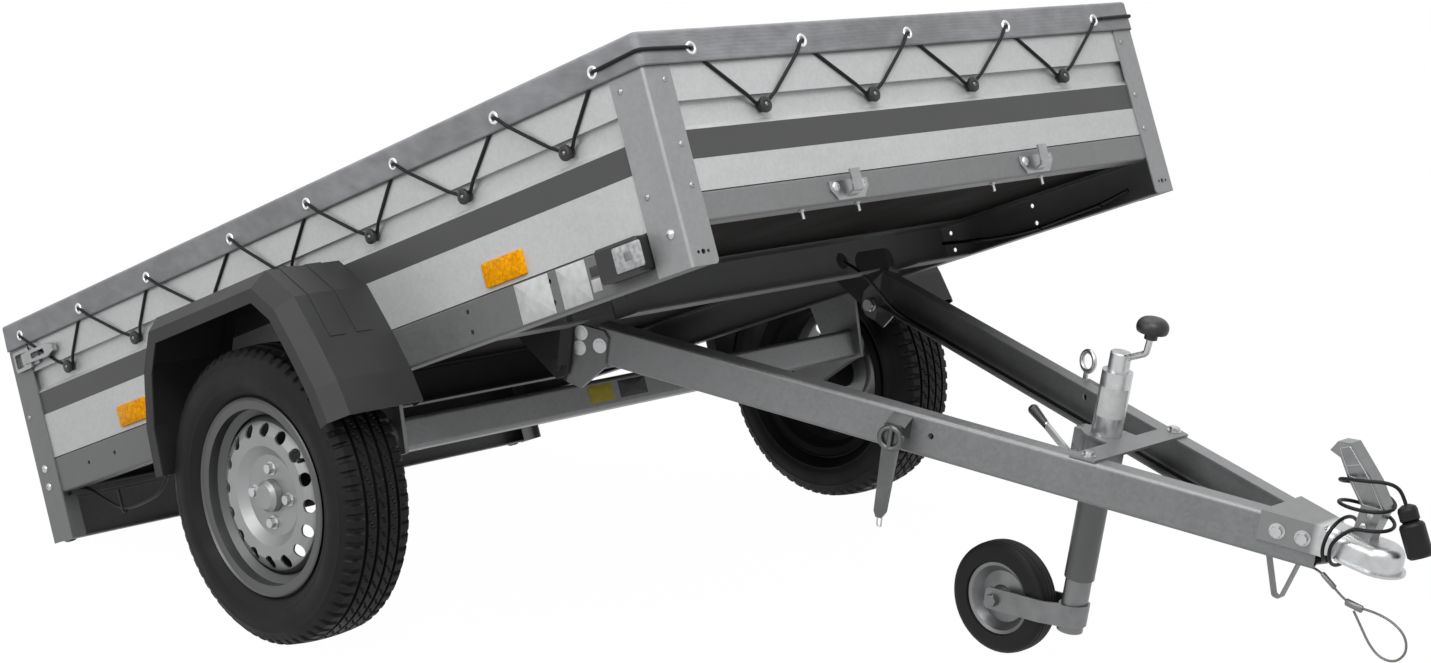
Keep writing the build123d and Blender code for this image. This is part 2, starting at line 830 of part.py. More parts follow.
# Fittings on the bed: lamps on the sides, catches at the front, toggles at the tail
bracket_y = beam_outer_y + hinge_plate_sheet + bracket_gap
for side, sign in sides:
    with BuildPart() as marker:
        with BuildSketch(upright(sign * panel_y)):
            with Locations((-post_side_width - marker_length / 2 - 3, marker_z)):
                RectangleRounded(marker_length, marker_height, marker_corner)
        extrude(amount=-sign * marker_depth)
        chamfer(marker.faces().sort_by(Axis.Y)[-1 if sign > 0 else 0].edges(), marker_corner - 1)
    put(marker, f"marker_lamp_{side}", bed)

    with BuildPart() as toggle:
        with BuildSketch(upright(sign * half_width)):
            with Locations((toggle_x - 34, toggle_z)):
                RectangleRounded(64, 36, 5)
        extrude(amount=-sign * toggle_sheet)
        with BuildSketch(upright(sign * (half_width + toggle_sheet))):
            with Locations((toggle_x - 60, toggle_z)):
                RectangleRounded(66, 44, 7)
                RectangleRounded(52, 30, 4, mode=Mode.SUBTRACT)
            with Locations((toggle_x - 36, toggle_z)):
                Rectangle(10, 34)
        extrude(amount=-sign * 5)
        with BuildSketch(upright(sign * (half_width + toggle_sheet))):
            with BuildLine():
                Polyline(
                    (toggle_x - 52, toggle_z - 11),
                    (toggle_x + 50, toggle_z - 14),
                    (toggle_x + 78, toggle_z - 7),
                    (toggle_x + 78, toggle_z + 7),
                    (toggle_x + 50, toggle_z + 14),
                    (toggle_x - 52, toggle_z + 11),
                    close=True,
                )
            make_face()
            with Locations((toggle_x + 14, toggle_z)):
                RectangleRounded(56, 12, 5, mode=Mode.SUBTRACT)
        extrude(amount=-sign * 10)
    put(toggle, f"toggle_{side}", bed)

    with BuildPart() as catch:
        with BuildSketch(Plane.YZ.offset(-post_sheet)):
            with BuildLine():
                Polyline(
                    (sign * catch_y - catch_width / 2, catch_z + 16),
                    (sign * catch_y + catch_width / 2, catch_z + 16),
                    (sign * catch_y + catch_width / 2, catch_z + 2),
                    (sign * catch_y + catch_width / 3, catch_z - 17),
                    (sign * catch_y - catch_width / 3, catch_z - 17),
                    (sign * catch_y - catch_width / 2, catch_z + 2),
                    close=True,
                )
            make_face()
        extrude(amount=catch_sheet)
        with BuildSketch(upright(sign * catch_y + catch_width / 8)):
            with BuildLine():
                FilletPolyline(
                    (catch_sheet / 2 - post_sheet, catch_z - 13),
                    (20, catch_z - 7),
                    (22, catch_z + 30),
                    radius=7,
                )
                offset(amount=catch_sheet, kind=Kind.INTERSECTION, side=Side.LEFT)
            make_face()
        extrude(amount=catch_width / 4)
    put(catch, f"catch_{side}", bed)

    with BuildPart() as pivot_bracket:
        with BuildSketch(upright(sign * bracket_y)):
            with BuildLine():
                Polyline(
                    (hinge_member_x - member_depth, rail_height),
                    (hinge_member_x - member_depth, 10),
                    (pivot_x + 24, pivot_z - 6),
                    (pivot_x + 10, pivot_z - 24),
                    (pivot_x - 14, pivot_z - 24),
                    (pivot_x - 90, 20),
                    (pivot_x - 90, rail_height),
                    close=True,
                )
            make_face()
        extrude(amount=-sign * bracket_sheet)
        with BuildSketch(upright(sign * bracket_y)):
            with BuildLine():
                Polyline(
                    *band(
                        (
                            (hinge_member_x - member_depth, rail_height),
                            (hinge_member_x - member_depth, 10),
                            (pivot_x + 24, pivot_z - 6),
                        ),
                        -bracket_sheet,
                        0,
                    ),
                    close=True,
                )
            make_face()
        extrude(amount=-sign * (bracket_sheet + bracket_flange))
        with BuildSketch(upright(sign * (beam_outer_y - pivot_pin_radius))):
            with Locations((pivot_x, pivot_z)):
                Circle(pivot_pin_radius)
        extrude(amount=-sign * (bracket_y - beam_outer_y + pivot_pin_radius))
        with BuildSketch(upright(sign * (bracket_y + bracket_sheet))):
            with Locations((pivot_x, pivot_z)):
                RegularPolygon(1.6 * pivot_pin_radius, 6)
        extrude(amount=-sign * 9)
    put(pivot_bracket, f"pivot_bracket_{side}", bed)

# Drawbar beams, channels open inwards that meet at the coupling
beam_length = (beam_front_x - beam_rear_x) / cos(radians(beam_angle))
beam_middle = (beam_low + beam_high) / 2
for side, sign in sides:
    along = (cos(radians(beam_angle)), -sign * sin(radians(beam_angle)), 0)
    across = (-sin(radians(beam_angle)), -sign * cos(radians(beam_angle)), 0)
    root = Plane(origin=(beam_rear_x, sign * beam_y(beam_rear_x), 0), x_dir=across, z_dir=along)
    with BuildPart() as beam:
        with BuildSketch(root):
            with BuildLine():
                FilletPolyline(
                    (beam_flange, -sign * beam_low),
                    (0, -sign * beam_low),
                    (0, -sign * beam_high),
                    (beam_flange, -sign * beam_high),
                    radius=beam_bend,
                )
                offset(amount=beam_sheet, kind=Kind.INTERSECTION, side=inward(sign))
            make_face()
        extrude(amount=beam_length)
        split(bisect_by=Plane.XZ.offset(-sign * beam_split), keep=Keep.TOP if sign < 0 else Keep.BOTTOM)
        with BuildSketch(upright(sign * (beam_y(beam_hole_x) + beam_sheet))):
            with Locations((beam_hole_x, beam_middle + 4)):
                Circle(beam_hole_radius)
        extrude(amount=sign * 4 * beam_sheet, mode=Mode.SUBTRACT)
    put(beam, f"drawbar_beam_{side}", drawbar)

    plate_low = beam_low - 55.0
    plate_high = beam_high - 8.0
    plate_inner_y = beam_y(hinge_plate_front) - 20.0
    plate_reach = beam_outer_y + hinge_plate_sheet - plate_inner_y + 20.0
    with BuildPart() as hinge_plate:
        with BuildSketch(Plane.XY.offset(plate_low)):
            with BuildLine():
                Polyline(
                    (hinge_plate_rear, sign * beam_y(15)),
                    (15, sign * beam_y(15)),
                    (hinge_plate_front, sign * beam_y(hinge_plate_front)),
                )
                offset(amount=hinge_plate_sheet, kind=Kind.INTERSECTION, side=inward(sign))
            make_face()
        extrude(amount=plate_high - plate_low)
        with BuildSketch(upright(sign * plate_inner_y)):
            with BuildLine():
                Polyline(
                    (hinge_plate_rear, 20),
                    (hinge_plate_rear, -14),
                    (-10, -27),
                    (44, -34),
                    (hinge_plate_front, beam_low - 1.5),
                    (hinge_plate_front, plate_high - 11),
                    (hinge_plate_front - 10, plate_high),
                    (20, plate_high),
                    close=True,
                )
            make_face()
        extrude(amount=-sign * plate_reach, mode=Mode.INTERSECT)
        with BuildSketch(upright(sign * plate_inner_y)):
            Circle(pivot_pin_radius + running_gap)
        extrude(amount=-sign * plate_reach, mode=Mode.SUBTRACT)
    put(hinge_plate, f"hinge_plate_{side}", drawbar)

# Hold-down latches: a bracket on the beam's web, a hanging channel lever and an eye
for side, sign, at_x, eye_along, eye_out, eye_z in latch_rows:
    with BuildPart() as latch:
        with BuildSketch(Plane.YZ.offset(-latch_width / 2)):
            with BuildLine():
                Polyline((0, latch_low), (0, latch_high), (sign * latch_reach, latch_high - latch_reach / 3))
                offset(amount=latch_sheet, kind=Kind.INTERSECTION, side=inward(-sign))
            make_face()
        extrude(amount=latch_width)
        for inset, start, depth, mode in (
            (0, 0, strap_depth, Mode.ADD),
            (latch_sheet, 0, strap_depth - latch_sheet, Mode.SUBTRACT),
        ):
            with BuildSketch(upright(sign * (latch_reach - latch_sheet + start))):
                with BuildLine():
                    Polyline(
                        (inset - strap_top_width / 2, strap_high - inset),
                        (strap_top_width / 2 - inset, strap_high - inset),
                        (strap_foot_width / 2 - inset, strap_low + 10),
                        (strap_foot_width / 4, strap_low + inset),
                        (-strap_foot_width / 4, strap_low + inset),
                        (inset - strap_foot_width / 2, strap_low + 10),
                        close=True,
                    )
                make_face()
            extrude(amount=-sign * depth, mode=mode)
        with BuildSketch(Plane.XY.offset(latch_high - 2 * eye_wire_radius)):
            with Locations((eye_along, sign * eye_out)):
                Circle(eye_wire_radius)
        extrude(amount=eye_z - eye_radius - latch_high + 2 * eye_wire_radius)
        with BuildSketch(Plane.XY.offset(eye_z)):
            with Locations((eye_along + eye_radius, sign * eye_out)):
                Circle(eye_wire_radius)
        revolve(axis=Axis((eye_along, sign * eye_out, eye_z), (0, 1, 0)))
    seat = Location((at_x, sign * beam_y(at_x), 0), (0, 0, -sign * beam_angle))
    put(latch, f"latch_{side}", drawbar * seat)

# Cross strap over the beams with the clamp for the jockey leg
clamp_radius = leg_radius + clamp_wall
ear_x = leg_x - clamp_radius - 8.0
with BuildPart() as cross_plate:
    with BuildSketch(Plane.XY.offset(beam_high)):
        with BuildLine():
            Polyline(
                (cross_plate_rear, beam_y(cross_plate_rear) - 2),
                (cross_plate_front, beam_y(cross_plate_front) - 2),
                (cross_plate_front, -beam_y(cross_plate_front) + 2),
                (cross_plate_rear, -beam_y(cross_plate_rear) + 2),
                close=True,
            )
        make_face()
        with Locations(((leg_x + cross_plate_rear) / 2, 0)):
            Rectangle(cross_plate_rear - leg_x, 2 * clamp_radius + 12)
        with Locations((leg_x, 0)):
            Circle(clamp_radius + 6)
            Circle(leg_radius + slide_gap, mode=Mode.SUBTRACT)
    extrude(amount=cross_plate_sheet)
    with BuildSketch(Plane.XY.offset(clamp_low)):
        with Locations((leg_x, 0)):
            Circle(clamp_radius)
        with Locations((ear_x + 8, 0)):
            Rectangle(36, 34)
        with Locations((leg_x, 0)):
            Circle(leg_radius + slide_gap, mode=Mode.SUBTRACT)
        with Locations((ear_x + 6, 0)):
            Rectangle(40, 5, mode=Mode.SUBTRACT)
    extrude(amount=beam_high - clamp_low)
put(cross_plate, "cross_plate", drawbar)

screw_z = clamp_low + 12.0
with BuildPart() as clamp_lever:
    with BuildSketch(upright(-17)):
        with Locations((ear_x, screw_z)):
            Circle(6)
    extrude(amount=19)
    with BuildSketch(upright(-28)):
        with BuildLine():
            Polyline((ear_x, screw_z), (ear_x - 62, screw_z + 36))
            offset(amount=5, kind=Kind.ARC)
        make_face()
    extrude(amount=8)
    with BuildSketch(Plane(origin=(ear_x - 56, -32, screw_z + 32.5), z_dir=(-62, 0, 36))):
        Circle(6.5)
    with BuildSketch(Plane(origin=(ear_x - 94, -32, screw_z + 54.5), z_dir=(-62, 0, 36))):
        Circle(10)
    loft()
    fillet(clamp_lever.edges().filter_by(GeomType.CIRCLE).sort_by(Axis.X)[0], 8)
put(clamp_lever, "clamp_lever", drawbar)

# Ball coupling: a pressed nose over the ball, and a saddle over the beams' front end
neck_y = beam_y(neck_x) + coupler_sheet
tangent = atan2(neck_y, neck_x - ball_x) - acos(nose_radius / hypot(ball_x - neck_x, neck_y))


def nose_outline(grow):
    """Plan of the coupling's nose, grown by an amount: straight sides that run into a half round."""
    radius = nose_radius + grow
    meet_x = ball_x + radius * cos(tangent)
    meet_y = radius * sin(tangent)
    Polyline((meet_x, -meet_y), (neck_x, -neck_y - grow), (neck_x, neck_y + grow), (meet_x, meet_y))
    ThreePointArc((meet_x, meet_y), (ball_x + radius, 0), (meet_x, -meet_y))


with BuildPart() as nose:
    with BuildSketch(Plane.XY.offset(nose_low)):
        with BuildLine():
            nose_outline(0)
        make_face()
    extrude(amount=coupler_top - nose_low)
    fillet(nose.faces().sort_by(Axis.Z)[-1].edges().sort_by(Axis.X)[1:], nose_round)
    with BuildSketch(Plane.XY.offset(nose_low)):
        with BuildLine():
            nose_outline(lip_width)
        make_face()
        with Locations((neck_x, 0)):
            Rectangle(nose_radius + ball_radius, 4 * nose_radius, mode=Mode.SUBTRACT)
    extrude(amount=lip_sheet)
    with BuildSketch(Plane.XY.offset(nose_low)):
        with BuildLine():
            nose_outline(-coupler_sheet)
        make_face()
    extrude(amount=coupler_top - nose_round - nose_low, mode=Mode.SUBTRACT)
    with Locations((ball_x, 0, ball_z)):
        Sphere(ball_radius + ball_gap, mode=Mode.SUBTRACT)

with BuildPart() as coupler:
    add(nose.part)
    with BuildSketch(Plane.XY.offset(beam_high)):
        with BuildLine():
            Polyline(
                (coupler_rear_x, beam_y(coupler_rear_x) + coupler_sheet),
                (neck_x, neck_y),
                (neck_x, -neck_y),
                (coupler_rear_x, -beam_y(coupler_rear_x) - coupler_sheet),
                close=True,
            )
        make_face()
    extrude(amount=coupler_sheet)
    with BuildSketch(Plane.XY.offset(coupler_skirt_low)):
        for sign in (1, -1):
            with BuildLine():
                Polyline(
                    (coupler_rear_x, sign * beam_y(coupler_rear_x)),
                    (neck_x + coupler_sheet, sign * beam_y(neck_x + coupler_sheet)),
                    (neck_x + coupler_sheet, sign * neck_y),
                    (neck_x, sign * neck_y),
                    (coupler_rear_x, sign * (beam_y(coupler_rear_x) + coupler_sheet)),
                    close=True,
                )
            make_face()
    extrude(amount=beam_high - coupler_skirt_low)
put(coupler, "coupler", drawbar)

lever_rows = (
    # x, z of the lever's outline from the top of the coupling over the ball
    (-47.0, 0.0),
    (-16.0, 0.0),
    (-2.0, 57.0),
    (-30.0, 93.0),
    (-80.0, 139.0),
    (-102.0, 135.0),
    (-112.0, 117.0),
    (-92.0, 111.0),
    (-74.0, 85.0),
    (-42.0, 49.0),
)
with BuildPart() as coupler_lever:
    for inset, mode in ((0, Mode.ADD), (lever_sheet, Mode.SUBTRACT)):
        with BuildSketch(upright(lever_half_width - inset)):
            with BuildLine():
                Polyline(
                    *[(ball_x + x - 1.4 * inset, coupler_top + z - inset) for x, z in lever_rows],
                    close=True,
                )
            make_face()
        extrude(amount=2 * (lever_half_width - inset), mode=mode)
    with BuildSketch(upright(lever_half_width)):
        with Locations((ball_x - 24, coupler_top + 40), (ball_x - 32, coupler_top + 18)):
            Circle(4.5)
    extrude(amount=2 * lever_half_width)
put(coupler_lever, "coupler_lever", drawbar)

# Strap hook under the right-hand beam
hook_y = beam_y(coupler_rear_x + 60) - 20.0
hook_end_x = coupler_rear_x + 72.0
with BuildPart() as strap_hook:
    with BuildSketch(upright(-hook_y + hook_width)):
        with BuildLine():
            FilletPolyline(
                (coupler_rear_x - 16, beam_low),
                (coupler_rear_x, beam_low),
                (coupler_rear_x + 27, beam_low - 70),
                (coupler_rear_x + 37, beam_low - 70),
                (coupler_rear_x + 56, beam_low),
                (hook_end_x, beam_low),
                radius=4,
            )
            offset(amount=hook_sheet, kind=Kind.INTERSECTION, side=Side.RIGHT)
        make_face()
    extrude(amount=hook_width)
put(strap_hook, "strap_hook", drawbar)

# Plug, lying against the nose, and its cable: out of the beams, round the neck and the lever
plug_lean = 30.9
plug_top = Location((ball_x + 22.0, 0, coupler_top + 72.0), (0, -plug_lean, 0))
with BuildPart() as plug:
    with BuildSketch(Plane.XZ):
        with BuildLine():
            Polyline(
                (0, 0),
                (2 * cable_radius, 0),
                (plug_collar_radius - 2, -4),
                (plug_collar_radius, -9),
                (plug_collar_radius, -24),
                (plug_collar_radius - 3, -27),
                (plug_radius - 2, -30),
                (plug_radius, -34),
                (plug_radius, 4 - plug_length),
                (plug_radius - 4, -plug_length),
                (0, -plug_length),
                close=True,
            )
        make_face()
    revolve(axis=Axis.Z)
put(plug, "plug", drawbar * plug_top)

neck_turn_y = nose_radius + 13.0
neck_turn_z = (coupler_top - nose_low) / 2 + 18.5
neck_middle_z = (coupler_top + nose_low) / 2
cable_points = [
    (neck_x - 46, 8, neck_middle_z - 27),
    (neck_x - 24, 0, neck_middle_z - 35),
    (neck_x - 4, -9, neck_middle_z - 41),
]
for turn in range(-50, 371, 30):
    cable_points.append(
        (
            neck_x + 12 + 12 * (turn + 50) / 360,
            -neck_turn_y * cos(radians(turn)),
            neck_middle_z + neck_turn_z * sin(radians(turn)),
        )
    )
cable_points.append((neck_x + 37, -44, neck_middle_z + 25))
for turn in range(0, 691, 30):
    rise = 112 + 52 * turn / 630
    cable_points.append(
        (
            ball_x - 34 - 0.2 * (rise - 112) + 46 * sin(radians(turn)),
            -38 * cos(radians(turn)),
            rise + 6 * max(0, turn - 630) / 30,
        )
    )
plug_mouth = plug_top.position
plug_entry = (plug_top * Location((0, 0, 16))).position
plug_bend = (plug_top * Location((0, -12, 31))).position
cable_points += [
    (plug_bend.X - 38, -37, plug_bend.Z - 1),
    (plug_bend.X - 16, -25, plug_bend.Z + 3),
    tuple(plug_bend),
    tuple(plug_entry),
    tuple(plug_mouth),
]
wire_y = hook_width / 2 - hook_y
wire_points = [
    (hook_end_x, wire_y, beam_low - wire_radius - 0.1),
    (hook_end_x + 18, wire_y, beam_low - wire_radius - 0.1),
    (hook_end_x + 40, wire_y, beam_low - 12),
    (hook_end_x + 64, wire_y, beam_low - 28),
    (hook_end_x + 90, wire_y, beam_low - 37),
    (hook_end_x + 124, wire_y, beam_low - 32),
    (hook_end_x + 158, wire_y, beam_low - 35),
    (hook_end_x + 184, wire_y, beam_low - 49),
    (hook_end_x + 192, wire_y, beam_low - 74),
    (hook_end_x + 178, wire_y, beam_low - 96),
    (hook_end_x + 153, wire_y, beam_low - 100),
    (hook_end_x + 130, wire_y, beam_low - 87),
    (hook_end_x + 110, wire_y, beam_low - 64),
    (hook_end_x + 92, wire_y, beam_low - 43.5),
]
for name, points, radius in (
    ("plug_cable", cable_points, cable_radius),
    ("safety_wire", wire_points, wire_radius),
):
    bends = cord_bends(points)
    print(name, "bend radii", [round(bend, 1) for bend in bends])
    with BuildPart() as cord:
        with BuildLine() as run:
            FilletPolyline(*points, radius=bends)
        with BuildSketch(Plane(origin=run.line @ 0, z_dir=run.line % 0)):
            Circle(radius)
        sweep()
    print(name, "length", round(run.wires()[0].length, 1))
    put(cord, name, drawbar)

# Jockey leg with its crank, the swivelling fork and the small wheel
with BuildPart() as leg_tube:
    with BuildSketch(Plane.XY.offset(leg_low)):
        with Locations((leg_x, 0)):
            Circle(leg_radius)
            Circle(leg_bore_radius, mode=Mode.SUBTRACT)
    extrude(amount=leg_high - leg_low)
    with BuildSketch(Plane.XY.offset(leg_high - 4)):
        with Locations((leg_x, 0)):
            Circle(leg_radius)
    extrude(amount=4)
    with BuildSketch(Plane.XY.offset(leg_high)):
        with Locations((leg_x, 0)):
            Circle(leg_cap_radius)
    extrude(amount=crank_low - leg_high)
put(leg_tube, "leg_tube", drawbar)

knob_x = leg_x + crank_reach
with BuildPart() as crank:
    with BuildSketch(Plane.XY.offset(crank_low)):
        with Locations((leg_x, 0)):
            Circle(leg_cap_radius)
    extrude(amount=leg_cap_high - crank_low)
    chamfer(crank.faces().sort_by(Axis.Z)[-1].edges(), 2)
    with BuildLine() as crank_path:
        FilletPolyline(
            (leg_x, 0, leg_cap_high - 14),
            (knob_x - 3, 0, leg_cap_high + 12),
            (knob_x, 0, leg_cap_high + crank_rise),
            radius=10,
        )
    with BuildSketch(Plane(origin=crank_path.line @ 0, z_dir=crank_path.line % 0)):
        Circle(crank_wire_radius)
    sweep()
    with BuildSketch(Plane.XZ):
        with BuildLine():
            Polyline(
                (knob_x, leg_cap_high + crank_rise - 10),
                (knob_x + 11, leg_cap_high + crank_rise - 10),
                (knob_x + 11, leg_cap_high + crank_rise + 1),
                (knob_x + knob_radius - 3, leg_cap_high + crank_rise + 2),
            )
            ThreePointArc(
                (knob_x + knob_radius - 3, leg_cap_high + crank_rise + 2),
                (knob_x + knob_radius - 1, leg_cap_high + crank_rise + 12),
                (knob_x + 14, leg_cap_high + crank_rise + 26),
            )
            Polyline(
                (knob_x + 14, leg_cap_high + crank_rise + 26),
                (knob_x, leg_cap_high + crank_rise + 28),
                (knob_x, leg_cap_high + crank_rise - 10),
            )
        make_face()
    revolve(axis=Axis((knob_x, 0, leg_cap_high), (0, 0, 1)))
put(crank, "crank", drawbar)

stem_radius = leg_bore_radius - slide_gap
arm_outer_y = fork_half_gap + fork_sheet
arm_slope = 0.2
arm_end_x = jockey_x - 18.0
arm_top = jockey_z + fork_height / 2
with BuildPart() as fork_arms:
    with BuildSketch(Plane.XY.offset(jockey_z - fork_height)):
        for sign in (1, -1):
            with BuildLine():
                Polyline(
                    (leg_x, sign * (stem_radius - 2)),
                    (leg_x - 18, sign * (stem_radius - 2)),
                    (leg_x - 44, sign * fork_half_gap),
                    (arm_end_x, sign * fork_half_gap),
                    (arm_end_x, sign * arm_outer_y),
                    (leg_x - 46, sign * arm_outer_y),
                    (leg_x - 14, sign * (stem_radius + fork_sheet)),
                    (leg_x, sign * (stem_radius + fork_sheet)),
                    close=True,
                )
            make_face()
        with Locations((leg_x, 0)):
            Circle(stem_radius + fork_sheet)
            Circle(stem_bore_radius, mode=Mode.SUBTRACT)
    extrude(amount=3 * fork_height)
    with BuildSketch(upright(arm_outer_y)):
        with BuildLine():
            Polyline(
                (arm_end_x, arm_top - fork_height + 6),
                (arm_end_x, arm_top - 6),
                (arm_end_x + 6, arm_top),
                (leg_x + leg_radius + fork_sheet, arm_top + arm_slope * (leg_x - jockey_x)),
                (leg_x + leg_radius + fork_sheet, arm_top + arm_slope * (leg_x - jockey_x) - fork_height),
                (arm_end_x + 6, arm_top - fork_height),
                close=True,
            )
        make_face()
    extrude(amount=2 * arm_outer_y, mode=Mode.INTERSECT)

with BuildPart() as fork:
    add(fork_arms.part)
    with BuildSketch(Plane.XY.offset(stem_foot)):
        with Locations((leg_x, 0)):
            Circle(stem_radius)
            Circle(stem_bore_radius, mode=Mode.SUBTRACT)
    extrude(amount=stem_high - stem_foot)
    with BuildSketch(upright(arm_outer_y + 8)):
        with Locations((jockey_x, jockey_z)):
            Circle(jockey_pin_radius)
    extrude(amount=2 * (arm_outer_y + 8))
put(fork, "jockey_fork", drawbar)

jockey_hub = drawbar * Location((jockey_x, 0, jockey_z))
tread_r = jockey_radius - 5.0
bulge_r = (jockey_radius + jockey_rim_radius) / 2
with BuildPart() as jockey_tyre:
    with BuildSketch(Plane.XY):
        with BuildLine():
            Polyline((jockey_rim_radius, -20), (jockey_rim_radius, 20), (jockey_rim_radius + 8, 22))
            ThreePointArc((jockey_rim_radius + 8, 22), (bulge_r, jockey_half_width), (tread_r, 19))
            ThreePointArc((tread_r, 19), (jockey_radius, 0), (tread_r, -19))
            ThreePointArc((tread_r, -19), (bulge_r, -jockey_half_width), (jockey_rim_radius + 8, -22))
            Line((jockey_rim_radius + 8, -22), (jockey_rim_radius, -20))
        make_face()
    revolve(axis=Axis.Y)
put(jockey_tyre, "jockey_tyre", jockey_hub)

with BuildPart() as jockey_rim:
    with BuildSketch(Plane.XY):
        with BuildLine():
            Polyline(
                (jockey_pin_radius + running_gap, -26),
                (jockey_pin_radius + running_gap, 26),
                (jockey_pin_radius + 8, 26),
                (jockey_pin_radius + 16, 8),
                (jockey_rim_radius - 18, 3),
                (jockey_rim_radius - 6, 18),
                (jockey_rim_radius, 20),
                (jockey_rim_radius, -20),
                (jockey_rim_radius - 6, -18),
                (jockey_rim_radius - 18, -3),
                (jockey_pin_radius + 16, -8),
                (jockey_pin_radius + 8, -26),
                close=True,
            )
        make_face()
    revolve(axis=Axis.Y)
put(jockey_rim, "jockey_rim", jockey_hub)
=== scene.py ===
import fnmatch
import math

import bmesh
import bpy
import numpy as np
from mathutils import Matrix


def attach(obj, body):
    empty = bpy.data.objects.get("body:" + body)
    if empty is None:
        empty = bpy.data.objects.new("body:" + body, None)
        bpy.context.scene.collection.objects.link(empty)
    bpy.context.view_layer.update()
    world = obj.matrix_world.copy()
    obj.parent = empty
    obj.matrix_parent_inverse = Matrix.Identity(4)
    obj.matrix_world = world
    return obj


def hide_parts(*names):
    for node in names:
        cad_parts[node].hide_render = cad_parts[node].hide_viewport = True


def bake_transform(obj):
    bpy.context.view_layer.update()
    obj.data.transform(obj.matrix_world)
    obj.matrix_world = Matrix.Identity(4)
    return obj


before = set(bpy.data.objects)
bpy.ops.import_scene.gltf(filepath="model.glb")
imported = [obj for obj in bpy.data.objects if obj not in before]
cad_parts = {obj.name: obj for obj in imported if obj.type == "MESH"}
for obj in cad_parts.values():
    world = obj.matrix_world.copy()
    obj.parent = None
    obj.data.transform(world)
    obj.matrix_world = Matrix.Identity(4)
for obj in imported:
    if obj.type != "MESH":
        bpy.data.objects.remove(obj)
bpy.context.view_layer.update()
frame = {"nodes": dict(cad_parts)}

# Where the trailer stands, in metres: the bed leans back on its tail, the drawbar lies on the jockey wheel
TYRE_R = 0.2735
WHEEL_Y = 0.758
AXLE = (-1.050, -0.150)
TAIL = (1.006, 0.064)
BED_TILT = math.asin((TYRE_R - 0.015) / math.hypot(*TAIL)) + math.atan2(TAIL[1], TAIL[0])
HINGE = (0.386488, 0.505095)
BAR_PITCH = math.radians(11.8325)
BEAM_LEAN = math.radians(17.1293)
LEG_X = 0.868
JOCKEY = (0.725, -0.262)
SIDES = (("left", 1), ("right", -1))
HEM_LOW, HEM_HIGH = 0.323, 0.379
HEM_TURN = 0.006
COVER_OUT, COVER_FRONT, COVER_REAR = 0.6683, 0.0033, -2.055
CLOTH_THICK = 0.0012
SIDE_EYES = np.array([-0.106, -0.360, -0.643, -0.911, -1.167, -1.472, -1.741, -1.990])
SIDE_KNOBS = -0.216 - 0.2706 * np.arange(7)
FRONT_EYES = np.array([-0.551, -0.287, -0.011, 0.271, 0.546])
FRONT_KNOBS = np.array([-0.411, -0.137, 0.137, 0.411])
EYE_Z = 0.346
KNOB_Z = 0.2445
LIP_Z = 0.2645
GROOVE_Y = 0.652
FRONT_EYE_X, FRONT_KNOB_X = 0.0036, -0.013
KNOB_TURN = 0.0105
LACE_R = 0.0031
POST_Y = 0.6650
LABEL_Y = 0.6620
LABEL_THICK = 0.0004
LEG_LABEL_R = 0.02612


def on_bed(points):
    """Bed points, drawn level, turned back by the bed's tilt about the wheels' axis."""
    x, y, z = np.moveaxis(np.asarray(points, float), -1, 0)
    x, z = x - AXLE[0], z - AXLE[1]
    c, s = math.cos(BED_TILT), math.sin(BED_TILT)
    return np.stack([x * c - z * s, y, TYRE_R + x * s + z * c], -1)


def on_bar(points):
    """Drawbar points, drawn level, turned down by the drawbar's pitch about its hinge bolts."""
    x, y, z = np.moveaxis(np.asarray(points, float), -1, 0)
    c, s = math.cos(BAR_PITCH), math.sin(BAR_PITCH)
    return np.stack([HINGE[0] + x * c + z * s, y, HINGE[1] - x * s + z * c], -1)


def beam_y(x):
    """Distance of a drawbar beam's outer face from the middle, at a place along the drawbar."""
    return 0.4284 - math.tan(BEAM_LEAN) * np.asarray(x, float)


def at_wheel(sign):
    """Points about a wheel's middle, moved to that wheel."""
    return lambda points: np.asarray(points, float) + (0, sign * WHEEL_Y, TYRE_R)


def at_jockey(points):
    """Points about the jockey wheel's middle, moved to where it stands."""
    x, y, z = np.moveaxis(np.asarray(points, float), -1, 0)
    return on_bar(np.stack([x + JOCKEY[0], y, z + JOCKEY[1]], -1))


class Reading:
    """A value read from a socket in a network of nodes; arithmetic on it adds Math nodes."""

    def __init__(self, network, socket):
        self.network = network
        self.socket = socket

    def sum_of(self, operation, left, right):
        return self.network.node("ShaderNodeMath", {"operation": operation}, {0: left, 1: right})

    def __add__(self, other):
        return self.sum_of("ADD", self, other)

    def __radd__(self, other):
        return self.sum_of("ADD", other, self)

    def __sub__(self, other):
        return self.sum_of("SUBTRACT", self, other)

    def __rsub__(self, other):
        return self.sum_of("SUBTRACT", other, self)

    def __mul__(self, other):
        return self.sum_of("MULTIPLY", self, other)

    def __rmul__(self, other):
        return self.sum_of("MULTIPLY", other, self)

    def __gt__(self, other):
        return self.sum_of("GREATER_THAN", self, other)

    def __lt__(self, other):
        return self.sum_of("LESS_THAN", self, other)


class Network:
    """The nodes of one material or of the surroundings."""

    def __init__(self, tree):
        self.tree = tree

    def node(self, kind, settings, inputs, output=0):
        """Add one node: its settings first, then the values or links of its sockets."""
        node = self.tree.nodes.new(kind)
        for name, value in settings.items():
            setattr(node, name, value)
        for socket, value in inputs.items():
            if isinstance(value, Reading):
                self.tree.links.new(value.socket, node.inputs[socket])
            else:
                node.inputs[socket].default_value = value
        return Reading(self, node.outputs[output])

    def direct_rays(self):
        """1 for what the camera sees straight, in a mirror or through glass, and 0 for light cast on other things."""
        rays = self.node("ShaderNodeLightPath", {}, {}).socket.node.outputs
        names = ("Is Camera Ray", "Is Glossy Ray", "Is Transmission Ray")
        straight, mirrored, through = (Reading(self, rays[name]) for name in names)
        return straight + mirrored + through


